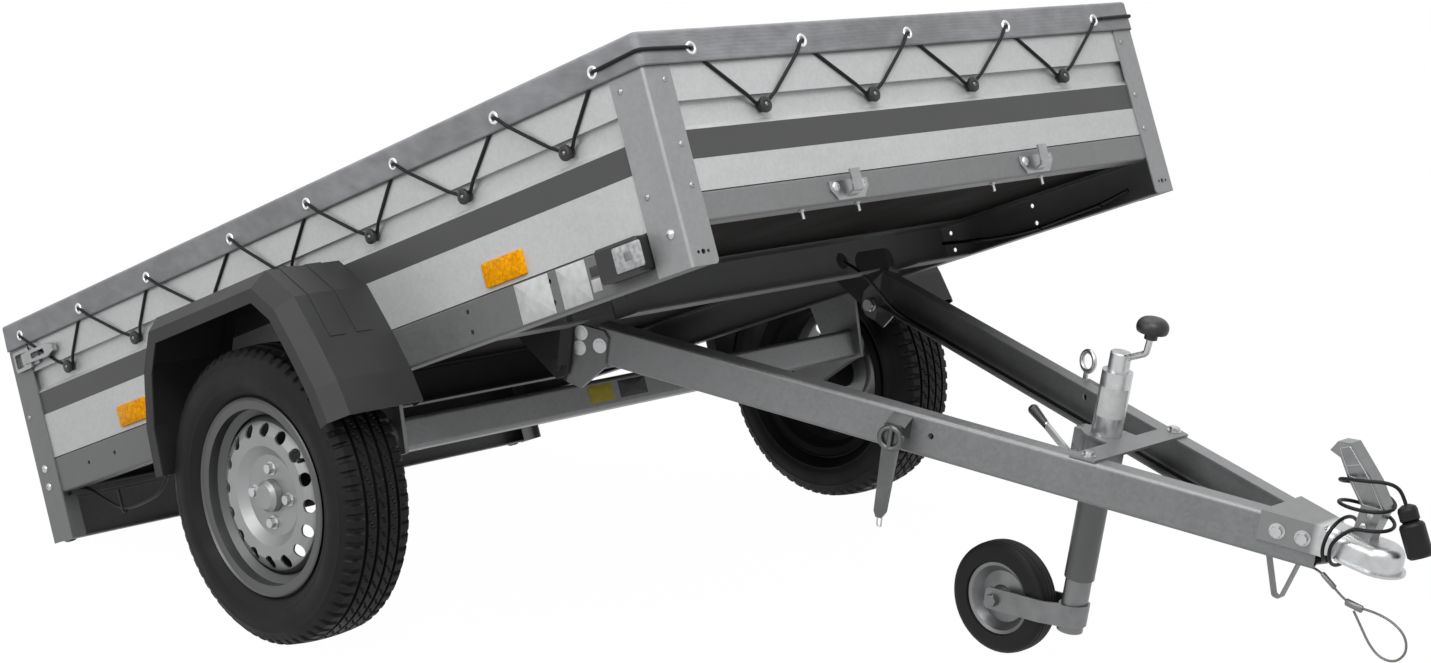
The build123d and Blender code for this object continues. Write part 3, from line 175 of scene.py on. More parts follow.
class Finish(Network):
    """A procedural finish around one Principled shader; constants go on the shader's own sockets."""

    def __init__(self, name, **constants):
        self.material = bpy.data.materials.new(name)
        self.material.use_nodes = True
        super().__init__(self.material.node_tree)
        self.shader = self.tree.nodes["Principled BSDF"]
        for socket, value in constants.items():
            self.shader.inputs[socket.replace("_", " ")].default_value = value
        self.place = self.node("ShaderNodeTexCoord", {}, {}, 3)

    def axes(self):
        """The three object coordinates as separate values."""
        split = self.node("ShaderNodeSeparateXYZ", {}, {0: self.place})
        return [Reading(self, socket) for socket in split.socket.node.outputs]

    def noise(self, scale, detail=3.0, stretch=None):
        """Soft noise over the object, stretched along an axis where three factors are given."""
        at = self.place
        if stretch:
            at = self.node("ShaderNodeMapping", {}, {"Vector": at, "Scale": stretch})
        return self.node("ShaderNodeTexNoise", {}, {"Vector": at, "Scale": scale, "Detail": detail})

    def cells(self, scale):
        """A random value for each crystal of a broken-up surface."""
        spot = self.node("ShaderNodeTexVoronoi", {}, {"Vector": self.place, "Scale": scale}, 1)
        return self.node("ShaderNodeSeparateColor", {}, {0: spot})

    def ribs(self, direction, scale):
        """Soft ribs at even distances across one direction."""
        inputs = {"Vector": self.place, "Scale": scale}
        return self.node("ShaderNodeTexWave", {"bands_direction": direction}, inputs)

    def spread(self, value, low, high, to_low, to_high):
        """Carry a value from one range to another, held at the ends."""
        inputs = {0: value, 1: low, 2: high, 3: to_low, 4: to_high}
        return self.node("ShaderNodeMapRange", {}, inputs)

    def share(self, value, low=0.3, high=0.7):
        """How far a value lies from one limit to another, from 0 to 1."""
        return self.spread(value, low, high, 0.0, 1.0)

    def mix(self, factor, first, second):
        """Blend two colours."""
        return self.node("ShaderNodeMix", {"data_type": "RGBA"}, {0: factor, 6: first, 7: second}, 2)

    def feed(self, socket, value):
        self.tree.links.new(value.socket, self.shader.inputs[socket])

    def relief(self, height, distance, strength=1.0):
        """Bump from a height, in metres of relief."""
        inputs = {"Strength": strength, "Distance": distance, "Height": height}
        self.feed("Normal", self.node("ShaderNodeBump", {}, inputs))


def grey(value, blue=1.0):
    return (value * 0.985, value, value * blue, 1.0)


def coated_steel(name, tone, metallic, rough, crystals=0.10, stains=0.18):
    """Zinc-coated sheet: faint crystals, soft drift of tone, handling stains and a fine grain."""
    f = Finish(name, Metallic=metallic)
    crystal = f.cells(150.0)
    drift = f.noise(5.0, 4.0)
    streak = f.noise(26.0, 5.0, (1.0, 1.0, 0.25))
    shade = f.share(crystal * crystals + drift * stains + streak * stains * 0.6, 0.0, 0.4)
    f.feed("Base Color", f.mix(shade, grey(tone * 0.80), grey(tone * 1.16, 1.02)))
    f.feed("Roughness", f.spread(drift + crystal * 0.25, 0.3, 1.0, rough - 0.07, rough + 0.10))
    f.relief(f.noise(420.0, 2.0) + crystal * 0.4, 0.0002, 0.35)
    return f


def bed_height(f):
    """Height over the foot of the front posts, square to the bed's floor."""
    x, _, z = f.axes()
    return z * math.cos(BED_TILT) - x * math.sin(BED_TILT) - (TYRE_R * math.cos(BED_TILT) - AXLE[1])


def bar_axes(f):
    """Distance along the drawbar from its hinge bolts, and height over them square to the beams."""
    x, _, z = f.axes()
    c, s = math.cos(BAR_PITCH), math.sin(BAR_PITCH)
    x, z = x - HINGE[0], z - HINGE[1]
    return x * c - z * s, x * s + z * c


def gripped_rod(name, along_limit, height_limit):
    """Plated rod with a moulded black grip behind one place along the drawbar or over one height."""
    f = Finish(name)
    along, height = bar_axes(f)
    grip = f.share((along < along_limit) + (height > height_limit), 0.0, 1.0)
    patch = f.noise(38.0, 4.0)
    pores = f.noise(900.0, 2.0)
    steel = f.mix(f.share(patch), grey(0.46), grey(0.60, 1.02))
    f.feed("Base Color", f.mix(grip, steel, grey(0.012)))
    f.feed("Metallic", 0.95 - grip * 0.95)
    f.feed("Roughness", f.spread(patch, 0.3, 0.7, 0.24, 0.38) + grip * 0.12)
    f.relief(pores, 0.0003, 0.3)
    return f


def striped_panel(name):
    """Bright zinc wall with the dark foil stripe under the lacing groove."""
    f = Finish(name, Metallic=0.35)
    height = bed_height(f)
    crystal = f.cells(190.0)
    drift = f.noise(3.0, 4.0)
    fine = f.noise(60.0, 5.0, (0.3, 0.3, 1.0))
    shade = f.share(crystal * 0.2 + drift * 0.5 + fine * 0.3, 0.25, 0.75)
    steel = f.mix(shade, grey(0.47), grey(0.575, 1.01))
    foil = f.mix(f.noise(9.0, 3.0), grey(0.046, 1.04), grey(0.058, 1.04))
    stripe = (height > 0.169) * (height < 0.2165)
    f.feed("Base Color", f.mix(stripe, steel, foil))
    f.feed("Metallic", 0.35 - stripe * 0.35)
    f.feed("Roughness", f.spread(drift, 0.3, 0.7, 0.40, 0.50))
    f.relief(f.noise(500.0, 2.0) + crystal * 0.3 + stripe * 0.6, 0.00015, 0.4)
    return f


def plated_zinc(name, tone, rough, soil_and_shade_tone=None, under=-9.0, behind=-9.0):
    """Electroplated steel: bright, with milky patches and fine drawing lines. Where a second tone is given, painted
    shade makes it darker and rougher under one height of the drawbar or behind one place along it."""
    f = Finish(name, Metallic=0.95)
    patch = f.noise(38.0, 4.0)
    fine = f.noise(240.0, 3.0)
    colour = f.mix(f.share(patch), grey(tone * 0.78), grey(tone, 1.02))
    roughness = f.spread(patch + fine * 0.4, 0.4, 1.0, rough - 0.06, rough + 0.16)
    if soil_and_shade_tone:
        along, height = bar_axes(f)
        low = f.spread(height, under - 0.02, under, 1.0, 0.0)
        back = f.spread(along, behind - 0.01, behind, 1.0, 0.0)
        # painted shade: darker and rougher under one height or behind one place along the drawbar
        shade_share = f.share(low + back, 0.0, 1.0)
        colour = f.mix(shade_share, colour, grey(soil_and_shade_tone))
        roughness = roughness + shade_share * 0.08
    f.feed("Base Color", colour)
    f.feed("Roughness", roughness)
    f.relief(fine, 0.0002, 0.25)
    return f


def moulded_plastic(name, tone, rough=0.55, grain=900.0, gloss=0.5):
    """Moulded black or charcoal plastic: fine leather-like grain and scuffed patches."""
    f = Finish(name, Specular_IOR_Level=gloss)
    scuff = f.noise(11.0, 5.0)
    pores = f.noise(grain, 2.0)
    colour = f.mix(f.share(scuff, 0.35, 0.7), grey(tone * 0.86, 1.02), grey(tone * 1.18, 1.02))
    f.feed("Base Color", colour)
    f.feed("Roughness", f.spread(scuff + pores * 0.3, 0.4, 1.0, rough - 0.08, rough + 0.12))
    f.relief(pores, 0.0004, 0.5)
    return f


def rubber(name, tone, rough=0.62):
    """Tyre rubber: near black, greyer where it is dusty, matt with a fine moulded grain."""
    f = Finish(name, Specular_IOR_Level=0.22)
    dust = f.noise(16.0, 5.0)
    grain = f.noise(700.0, 2.0)
    f.feed("Base Color", f.mix(f.share(dust, 0.4, 0.75), grey(tone * 0.8), grey(tone * 1.5)))
    f.feed("Roughness", f.spread(dust, 0.3, 0.8, rough - 0.1, rough + 0.12))
    f.relief(grain, 0.0003, 0.4)
    return f


def silver_paint(name):
    """Silver wheel lacquer: fine flake and a soft sheen on the outer face, painted shade over the barrel and flange,
    and the inner side painted near black as shade.
    """
    f = Finish(name, Coat_Roughness=0.3, Specular_IOR_Level=0.2)
    x, y, z = f.axes()
    flake = f.noise(1400.0, 2.0)
    drift = f.noise(13.0, 4.0)
    lacquer = f.mix(f.share(flake * 0.5 + drift * 0.5), grey(0.27), grey(0.36, 1.01))
    out = x * x + (z - TYRE_R) * (z - TYRE_R)
    # painted shade: darker beyond 128 mm from the wheel's middle, over the barrel and flange
    lacquer = f.mix(f.share(out, 0.128 ** 2, 0.142 ** 2), lacquer, grey(0.105))
    # painted shade: the inner side near black, duller and without coat
    inner_shade = f.spread(y * y, 0.772 ** 2, 0.780 ** 2, 1.0, 0.0)
    f.feed("Base Color", f.mix(inner_shade, lacquer, grey(0.020)))
    f.feed("Metallic", 0.70 - inner_shade * 0.65)
    f.feed("Roughness", f.spread(drift, 0.3, 0.7, 0.38, 0.52) + inner_shade * 0.35)
    f.feed("Coat Weight", f.spread(drift, 0.3, 0.7, 0.10, 0.25) * (1.0 - inner_shade))
    f.relief(flake, 0.0001, 0.3)
    return f


def coated_cloth(name):
    """Grey coated tarpaulin: the weave's fine ribs under the coating, creases and pale rub marks."""
    f = Finish(name, Sheen_Weight=0.05)
    crease = f.noise(22.0, 6.0, (1.0, 1.0, 2.0))
    drift = f.noise(4.0, 4.0)
    weave = f.ribs("X", 160.0)
    cross = f.ribs("Z", 160.0)
    rub = f.share(crease * 0.6 + drift * 0.4, 0.38, 0.66)
    f.feed("Base Color", f.mix(rub, grey(0.170, 1.05), grey(0.275, 1.05)))
    f.feed("Roughness", f.spread(crease, 0.3, 0.7, 0.42, 0.58))
    f.relief(weave * 0.12 + cross * 0.12 + crease, 0.0016, 0.6)
    return f


def amber_lens(name):
    """Amber reflector: a fine grid of prisms behind a glossy face, with a faint painted glow from emission."""
    f = Finish(name, Roughness=0.34, Specular_IOR_Level=0.08, Emission_Strength=0.25)
    prism = f.cells(230.0)
    f.feed("Base Color", f.mix(prism, (0.62, 0.215, 0.0, 1.0), (0.80, 0.36, 0.0, 1.0)))
    # painted glow: the reflector gives off light though it is no lamp
    f.feed("Emission Color", f.mix(prism, (0.30, 0.09, 0.0, 1.0), (0.52, 0.22, 0.0, 1.0)))
    f.relief(prism, 0.0004, 0.4)
    return f


def clear_lens(name, tint=(0.80, 0.82, 0.83, 1.0)):
    """Ribbed lamp glass."""
    f = Finish(name, Roughness=0.12, Coat_Weight=0.8)
    rib = f.noise(130.0, 2.0)
    f.feed("Base Color", f.mix(f.share(rib), tuple(0.55 * c for c in tint[:3]) + (1.0,), tint))
    f.relief(rib, 0.0008, 0.5)
    return f


def tail_lens(name):
    """Rear lamp: red over most of its width, amber at the outer end, in moulded ribs."""
    f = Finish(name, Roughness=0.14, Coat_Weight=0.7)
    y = f.axes()[1]
    rib = f.ribs("Y", 45.0)
    outer = y * y > 0.530 ** 2
    lens = f.mix(outer, (0.36, 0.008, 0.006, 1.0), (0.75, 0.22, 0.004, 1.0))
    f.feed("Base Color", f.mix(f.spread(rib, 0.0, 1.0, 0.0, 0.35), lens, (0.05, 0.01, 0.01, 1.0)))
    f.relief(rib, 0.0006, 0.5)
    return f


def wire_strand(name):
    """Galvanised wire rope: grey, with the slanting lines of its strands."""
    f = Finish(name, Metallic=0.55)
    lay = f.ribs("DIAGONAL", 420.0)
    f.feed("Base Color", f.mix(lay, grey(0.10), grey(0.26)))
    f.feed("Roughness", f.spread(lay, 0.0, 1.0, 0.5, 0.36))
    f.relief(lay, 0.0004, 0.6)
    return f


def film_board(name):
    """Film-faced plywood: dark brown-black film, painted darker still as shade under the bed, with a pressed wire-mesh
    pattern.
    """
    f = Finish(name, Specular_IOR_Level=0.05)
    drift = f.noise(6.0, 4.0)
    mesh = f.cells(120.0)
    # near black: the film's own dark brown plus painted shade under the bed
    f.feed("Base Color", f.mix(drift, (0.0050, 0.0042, 0.0038, 1.0), (0.0105, 0.0088, 0.0078, 1.0)))
    f.feed("Roughness", f.spread(drift, 0.3, 0.7, 0.68, 0.82))
    f.relief(mesh, 0.0005, 0.4)
    return f


def paper_label(name, colour, soil_and_shade_tone):
    """A blank sticker: plain face, faintly soiled."""
    f = Finish(name)
    soil = f.noise(60.0, 4.0)
    f.feed("Base Color", f.mix(f.share(soil, 0.35, 0.75), colour, soil_and_shade_tone))
    f.feed("Roughness", f.spread(soil, 0.3, 0.7, 0.42, 0.6))
    f.relief(soil, 0.0002, 0.3)
    return f


PANEL = striped_panel("striped_zinc_panel")
RAIL = coated_steel("zinc_coated_rail", 0.165, 0.50, 0.50)
FRONT_RAIL = coated_steel("zinc_coated_front_rail", 0.220, 0.50, 0.50)
POST = coated_steel("zinc_coated_post", 0.310, 0.55, 0.48)
# The rear posts take a darker copy of the posts' zinc: painted shade.
SHADED_REAR_POST = coated_steel("zinc_coated_rear_post_shaded", 0.195, 0.55, 0.48)
# The members and brackets under the bed are painted near black over their zinc: painted shade.
SHADED_CHASSIS = coated_steel("zinc_coated_chassis_shaded", 0.045, 0.15, 0.66)
MEMBER = coated_steel("zinc_coated_member", 0.170, 0.25, 0.60)
TAIL_BEAM = coated_steel("zinc_coated_tail_beam", 0.150, 0.25, 0.58)
BEAM = coated_steel("zinc_coated_beam", 0.205, 0.65, 0.46, 0.16, 0.26)
HINGE_PLATE = coated_steel("zinc_coated_hinge_plate", 0.165, 0.65, 0.46, 0.16, 0.26)
AXLE_ZINC = coated_steel("zinc_coated_axle", 0.210, 0.6, 0.46, 0.22, 0.30)
STEEL = plated_zinc("plated_fasteners", 0.58, 0.30)
EYELET_RING = plated_zinc("eyelet_ring", 0.85, 0.34)
# The jockey leg's foot and the coupling behind its neck are painted darker: painted shade.
LEG = plated_zinc("plated_leg", 0.62, 0.26, 0.110, under=0.03)
COUPLING = plated_zinc("plated_coupling", 0.62, 0.27, 0.240, behind=1.300)
CATCH = plated_zinc("plated_catch", 0.40, 0.28)
# Dull plate; on the jockey fork it stands for painted shade.
DULL_AND_SHADED = plated_zinc("dull_and_shaded_plate", 0.23, 0.36)
LEVER = plated_zinc("plated_lever", 0.26, 0.25)
LATCH = plated_zinc("plated_latch", 0.15, 0.40)
# The far latch's lower part is painted darker: painted shade.
FAR_LATCH = plated_zinc("plated_far_latch", 0.58, 0.28, 0.150, under=0.094)
RIVET = plated_zinc("rivet_heads", 0.36, 0.36)
STRAND = wire_strand("galvanised_strand")
CRANK = gripped_rod("crank_steel_and_knob", -1.0, 0.2735)
CLAMP = gripped_rod("clamp_steel_and_grip", 0.770, 1.0)
GUARD = moulded_plastic("charcoal_guard_plastic", 0.022, 0.62, 900.0, 0.4)
BLACK = moulded_plastic("black_plastic", 0.012, 0.45)
TYRE = rubber("tyre_rubber", 0.0050)
SMALL_TYRE = rubber("jockey_rubber", 0.010, 0.55)
ELASTIC = rubber("lacing_elastic", 0.008, 0.55)
CABLE = moulded_plastic("cable_sheath", 0.006, 0.46, 1500.0, 0.25)
LACQUER = silver_paint("wheel_lacquer")
CLOTH = coated_cloth("cover_cloth")
AMBER = amber_lens("amber_reflector")
LENS = clear_lens("marker_lens", (0.46, 0.47, 0.48, 1.0))
TAIL_LAMP = tail_lens("tail_lamp_lens")
BOARD = film_board("film_faced_board")
WHITE_LABEL = paper_label("white_label", grey(0.62), grey(0.48))
YELLOW_LABEL = paper_label("yellow_label", (0.62, 0.50, 0.03, 1.0), (0.48, 0.38, 0.03, 1.0))
BLACK_LABEL = paper_label("black_label", grey(0.02), grey(0.04))


NODE_FINISHES = (
    (PANEL, "side_panel_* front_panel tailgate"),
    (RAIL, "side_rail_*"),
    (FRONT_RAIL, "front_rail"),
    (POST, "front_post_*"),
    # rear posts: painted shade
    (SHADED_REAR_POST, "rear_post_*"),
    # members under the bed: painted shade
    (SHADED_CHASSIS, "middle_member rear_member pivot_bracket_*"),
    (MEMBER, "hinge_member"),
    (TAIL_BEAM, "rear_beam"),
    (BEAM, "drawbar_beam_* cross_plate"),
    (HINGE_PLATE, "hinge_plate_*"),
    (AXLE_ZINC, "axle swing_arm_*"),
    (LEG, "leg_tube"),
    # the jockey fork is plated like the leg; its darker plate is painted shade
    (DULL_AND_SHADED, "jockey_rim jockey_fork strap_hook"),
    (LEVER, "coupler_lever"),
    (LATCH, "latch_right"),
    (FAR_LATCH, "latch_left"),
    (CRANK, "crank"),
    (CLAMP, "clamp_lever"),
    (COUPLING, "coupler"),
    (CATCH, "toggle_* catch_*"),
    (CABLE, "plug plug_cable"),
    (STRAND, "safety_wire"),
    (GUARD, "mudguard_*"),
    (BLACK, "tail_bumper_* marker_lamp_*"),
    (LACQUER, "rim_* hub_*"),
    (TAIL_LAMP, "rear_lamp_*"),
    (BOARD, "floor_board"),
    (TYRE, "tyre_*"),
    (SMALL_TYRE, "jockey_tyre"),
    (CLOTH, "cover cover_flap"),
)
for finish, patterns in NODE_FINISHES:
    for pattern in patterns.split():
        for node in fnmatch.filter(frame["nodes"], pattern):
            materials = frame["nodes"][node].data.materials
            materials.clear()
            materials.append(finish.material)


def placed(name, data):
    """A new object, put in the scene."""
    obj = bpy.data.objects.new(name, data)
    bpy.context.scene.collection.objects.link(obj)
    return obj


def corner_numbers(rows, cols, ring):
    """Corner numbers of the quads between neighbouring points of a grid; a ring joins its last column to its
    first."""
    r = np.arange(rows - 1)
    c = np.arange(cols if ring else cols - 1)
    r, c = np.meshgrid(r, c, indexing="ij")
    d = (c + 1) % cols
    return np.stack([r * cols + c, r * cols + d, (r + 1) * cols + d, (r + 1) * cols + c], -1).reshape(-1, 4)


def skin(name, grids, body, finish, ring=True, closed=True, angle=35.0):
    """One piece from grids of points: every grid becomes a surface of quads, coincident points are merged,
    which closes the poles, and a closed shell is turned to face outwards."""
    points, faces, start = [], [], 0
    for grid in grids:
        rows, cols = grid.shape[:2]
        points.append(grid.reshape(-1, 3))
        faces.append(corner_numbers(rows, cols, ring) + start)
        start += rows * cols
    mesh = bpy.data.meshes.new(name)
    mesh.from_pydata(np.concatenate(points).tolist(), [], np.concatenate(faces).tolist())
    work = bmesh.new()
    work.from_mesh(mesh)
    bmesh.ops.remove_doubles(work, verts=work.verts, dist=2e-6)
    if closed:
        bmesh.ops.recalc_face_normals(work, faces=work.faces)
    work.to_mesh(mesh)
    work.free()
    mesh.polygons.foreach_set("use_smooth", np.ones(len(mesh.polygons), bool))
    mesh.set_sharp_from_angle(angle=math.radians(angle))
    mesh.materials.append(finish.material)
    obj = placed(name, mesh)
    if body:
        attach(obj, body)
    return obj


def turned(profile, steps=32):
    """A profile of (radius, height) points carried round the z axis."""
    radius, height = np.asarray(profile, float).T
    a = np.linspace(0, 2 * np.pi, steps, endpoint=False)
    return np.stack([radius[:, None] * np.cos(a), radius[:, None] * np.sin(a),
                     np.repeat(height[:, None], steps, 1)], -1)


def unit(vectors):
    vectors = np.asarray(vectors, float)
    return vectors / np.linalg.norm(vectors, axis=-1, keepdims=True)


def stood(shape, points, axis, along=(0, 0, 1)):
    """Copies of a shape at points, its z turned to an axis and its x laid as near as can be along a direction."""
    z = unit(axis)
    x = unit(np.asarray(along, float) - np.dot(along, z) * z)
    y = np.cross(z, x)
    turned_shape = shape @ np.stack([x, y, z])
    return [turned_shape + p for p in np.atleast_2d(np.asarray(points, float))]


def rounded_outline(width, height, radius, steps):
    """Outline of a rounded rectangle: four quarter circles joined by straight runs."""
    radius = max(radius, 1e-5)
    a = np.linspace(0, np.pi / 2, steps)
    quarter = np.stack([np.cos(a), np.sin(a)], -1) * radius
    centre = np.array([width / 2 - radius, height / 2 - radius])
    corners = []
    for k, (sx, sy) in enumerate(((1, 1), (-1, 1), (-1, -1), (1, -1))):
        c, s = math.cos(k * math.pi / 2), math.sin(k * math.pi / 2)
        corners.append(quarter @ np.array([[c, s], [-s, c]]) + centre * (sx, sy))
    return np.concatenate(corners)


def slab(width, height, depth, radius, bevel, steps=5):
    """A plate with rounded corners and a bevelled face: its outline drawn in at each level, closed at both ends by
    its middle point."""
    middle = np.zeros((4 * steps, 2))
    rows = [(middle, 0.0)]
    for inset, level in ((0.0, 0.0), (0.0, depth - bevel), (bevel * 0.3, depth - bevel * 0.3), (bevel, depth)):
        rows.append((rounded_outline(width - 2 * inset, height - 2 * inset, radius - inset, steps), level))
    rows.append((middle, depth))
    return np.stack([np.concatenate([flat, np.full((len(flat), 1), level)], 1) for flat, level in rows])


def hex_bolt(across, height, washer):
    """A hexagon head on its washer: six flats, rounded off at the top by a chamfer, over a turned disc."""
    a = np.linspace(0, 2 * np.pi, 24, endpoint=False)
    flat = across / 2 / np.cos((a + np.pi / 6) % (np.pi / 3) - np.pi / 6)
    turn = np.stack([np.cos(a), np.sin(a)], -1)
    rows = []
    for r, z in (
        (0 * a, 0.0), (0 * a + washer, 0.0), (0 * a + washer, 0.0014), (flat, 0.0014),
        (flat, height * 0.86), (np.minimum(flat, across * 0.5), height), (0 * a, height),
    ):
        rows.append(np.concatenate([turn * np.asarray(r)[:, None], np.full((24, 1), z)], 1))
    return np.stack(rows)


def dome_head(radius, height):
    """A rivet or screw head: a flattened dome with a shallow drive dimple."""
    t = np.linspace(0, np.pi / 2, 7)
    profile = [(0, 0)] + list(zip(radius * np.cos(t), height * np.sin(t)))
    profile[-1] = (radius * 0.22, height)
    return turned(profile + [(radius * 0.16, height * 0.6), (0, height * 0.6)], 16)


def tube(path, radius, across, sides=10):
    """A round section carried along a path of points, framed by one direction across it, and closed at its ends."""
    path = np.asarray(path, float)
    run = unit(np.gradient(path, axis=0))
    side = unit(np.cross(run, across))
    over = np.cross(side, run)
    a = np.linspace(0, 2 * np.pi, sides, endpoint=False)
    ring = side[:, None] * np.cos(a)[:, None] + over[:, None] * np.sin(a)[:, None]
    radii = np.broadcast_to(np.asarray(radius, float), (len(path),))
    grid = path[:, None] + ring * radii[:, None, None]
    return np.concatenate([np.repeat(path[:1, None], sides, 1), grid, np.repeat(path[-1:, None], sides, 1)])


def eased(points, radius, steps=7):
    """A run of straight lines with each corner rounded by a parabola that starts a set distance before it."""
    points = np.asarray(points, float)
    before, corner, after = points[:-2], points[1:-1], points[2:]
    reach_a = np.minimum(radius, 0.48 * np.linalg.norm(corner - before, axis=1))[:, None]
    reach_b = np.minimum(radius, 0.48 * np.linalg.norm(after - corner, axis=1))[:, None]
    a = corner + unit(before - corner) * reach_a
    b = corner + unit(after - corner) * reach_b
    t = np.linspace(0, 1, steps)[None, :, None]
    curve = (1 - t) ** 2 * a[:, None] + 2 * t * (1 - t) * corner[:, None] + t ** 2 * b[:, None]
    return np.concatenate([points[:1], curve.reshape(-1, 3), points[-1:]])


def smooth_step(low, high, value):
    t = np.clip((value - low) / (high - low), 0, 1)
    return t * t * (3 - 2 * t)


def tyre_surface():
    """Road tyre: a radial section from bead to bead carried round the axle. Over the tread the radius is cut by four
    straight grooves, by slanted sipes in the ribs and by cross grooves at the shoulders; rings stand on the walls."""
    wall = np.array([
        (0.1655, 0.0450), (0.1660, 0.0565), (0.1720, 0.0590), (0.1780, 0.0585), (0.1835, 0.0580),
        (0.1850, 0.0595), (0.1925, 0.0665), (0.2010, 0.0722), (0.2035, 0.0740), (0.2060, 0.0738),
        (0.2120, 0.0762), (0.2220, 0.0775), (0.2330, 0.0768), (0.2420, 0.0745), (0.2445, 0.0748),
        (0.2470, 0.0730), (0.2540, 0.0705), (0.2580, 0.0690), (0.2625, 0.0650), (0.2660, 0.0610),
    ])
    grooves = np.array([0.0355, 0.0120])
    groove_edge = np.array([0.0039, 0.0034, 0.0026, 0.0, -0.0026, -0.0034, -0.0039])
    ribs = np.concatenate([
        [0.0575, 0.0560, 0.0535, 0.0500, 0.0465, 0.0430], grooves[0] + groove_edge,
        [0.0280, 0.0240, 0.0200], grooves[1] + groove_edge, [0.0050, 0.0020],
    ])
    crown = TYRE_R - 0.0040 * (ribs / 0.056) ** 2
    half = np.concatenate([wall, np.stack([crown, ribs], -1)])
    rows = np.concatenate([half, (half * (1, -1))[::-1]])
    pitches = 66
    a = np.linspace(0, 2 * np.pi, pitches * 8, endpoint=False)
    r, y = rows[:, :1], rows[:, 1:]
    width = np.abs(y)
    straight = np.max([np.abs(width - g) < 0.0030 for g in grooves], axis=0) * 0.0062
    phase = (a * pitches / (2 * np.pi) + np.where(width > 0.041, 0, width * 55 * np.sign(y))) % 1.0
    shoulder_share = smooth_step(0.0415, 0.0440, width) * (1 - smooth_step(0.0660, 0.0715, width))
    shoulder = (phase < 0.26) * shoulder_share * 0.0058
    sipe = (phase < 0.14) * (width > 0.0160) * (width < 0.0315) * 0.0045
    middle = ((phase + 0.4) % 1.0 < 0.14) * (width < 0.0070) * 0.0035
    depth = (r > 0.2575) * np.maximum(straight, np.maximum(shoulder, np.maximum(sipe, middle)))
    lean = smooth_step(0.060, 0.070, width)
    radius = r - depth * (1 - 0.75 * lean)
    across = y - np.sign(y) * depth * 0.55 * lean
    return np.stack([radius * np.cos(a), across + 0 * a, radius * np.sin(a)], -1)


def small_tyre_surface():
    """Jockey tyre: a rounded section carried round its pin, with four fine grooves in the tread."""
    t = np.linspace(-1, 1, 61)
    y = 0.025 * np.sin(t * np.pi / 2)
    r = 0.066 + 0.034 * np.sqrt(np.clip(1 - np.abs(t) ** 3.2, 0, 1))
    groove = np.max([np.exp(-((y - g) / 0.0012) ** 2) for g in (-0.0125, -0.0042, 0.0042, 0.0125)], axis=0)
    r = np.where(r > 0.092, r - 0.0022 * groove, r)
    a = np.linspace(0, 2 * np.pi, 120, endpoint=False)
    r = np.concatenate([[0.0642], r, [0.0642]])
    y = np.concatenate([[-0.0195], y * 0.985, [0.0195]])
    return np.stack([r[:, None] * np.cos(a), np.repeat(y[:, None], 120, 1), r[:, None] * np.sin(a)], -1)


# Tyres, wheel bolts and valves
VALVE = turned([
    (0, -0.018), (0.0062, -0.018), (0.0062, -0.004), (0.0038, 0.004), (0.0036, 0.018), (0.0044, 0.019),
    (0.0044, 0.027), (0.003, 0.029), (0, 0.029),
], 14)
BOLT_CIRCLE_R, VALVE_R, VALVE_TURN = 0.050, 0.141, 0.62
for side, sign in SIDES:
    place = at_wheel(sign)
    tyre = skin(f"road_tyre_{side}", [place(tyre_surface())], f"wheel_{side}", TYRE, closed=False, angle=30)
    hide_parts(f"tyre_{side}")
    turn = np.radians(np.arange(4) * 90)
    seats = np.stack([BOLT_CIRCLE_R * np.cos(turn), np.full(4, sign * 0.0341), BOLT_CIRCLE_R * np.sin(turn)], -1)
    bolts = stood(hex_bolt(0.017, 0.012, 0.0125), place(seats), (0, sign, 0))
    skin(f"wheel_bolts_{side}", bolts, f"wheel_{side}", STEEL)
    spot = place((VALVE_R * math.cos(VALVE_TURN), sign * 0.034, VALVE_R * math.sin(VALVE_TURN)))
    skin(f"valve_{side}", stood(VALVE, spot, (0.05, sign, 0.04)), f"wheel_{side}", BLACK)
small = skin("jockey_tread", [at_jockey(small_tyre_surface())], "jockey_wheel", SMALL_TYRE, closed=False)
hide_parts("jockey_tyre")
axle_nuts = []
for sign in (-1, 1):
    axle_nuts += stood(hex_bolt(0.020, 0.009, 0.0125), at_jockey((0, sign * 0.034, 0)), (0, sign, 0))
skin("jockey_axle_nuts", axle_nuts, "jockey_fork", DULL_AND_SHADED)


def hem_offset(along, height, eyes):
    """Puckers of the hem at its eyelets: slanting folds that fade away from each, in metres outwards."""
    d = along[..., None] - eyes
    rise = height[..., None] - EYE_Z
    fold = np.exp(-((d - 0.35 * rise) / 0.016) ** 2) + np.exp(-((d + 0.55 * rise) / 0.013) ** 2)
    pull = np.exp(-(d / 0.05) ** 2)
    wave = 0.0010 * np.sin(along * 9.0 + 1.3) * smooth_step(HEM_HIGH - 0.008, HEM_LOW, height)
    return 0.0011 * fold.sum(-1) - 0.0009 * pull.sum(-1) + wave


def hem_section(steps=13):
    """Height and inset of the hem's section: straight up from its lower edge, then over a quarter turn."""
    a = np.linspace(0, np.pi / 2, 6)[1:]
    turn_low = HEM_HIGH - HEM_TURN
    height = np.concatenate([np.linspace(HEM_LOW, turn_low, steps), turn_low + HEM_TURN * np.sin(a)])
    inset = np.concatenate([np.zeros(steps), HEM_TURN - HEM_TURN * np.cos(a)])
    return height, inset


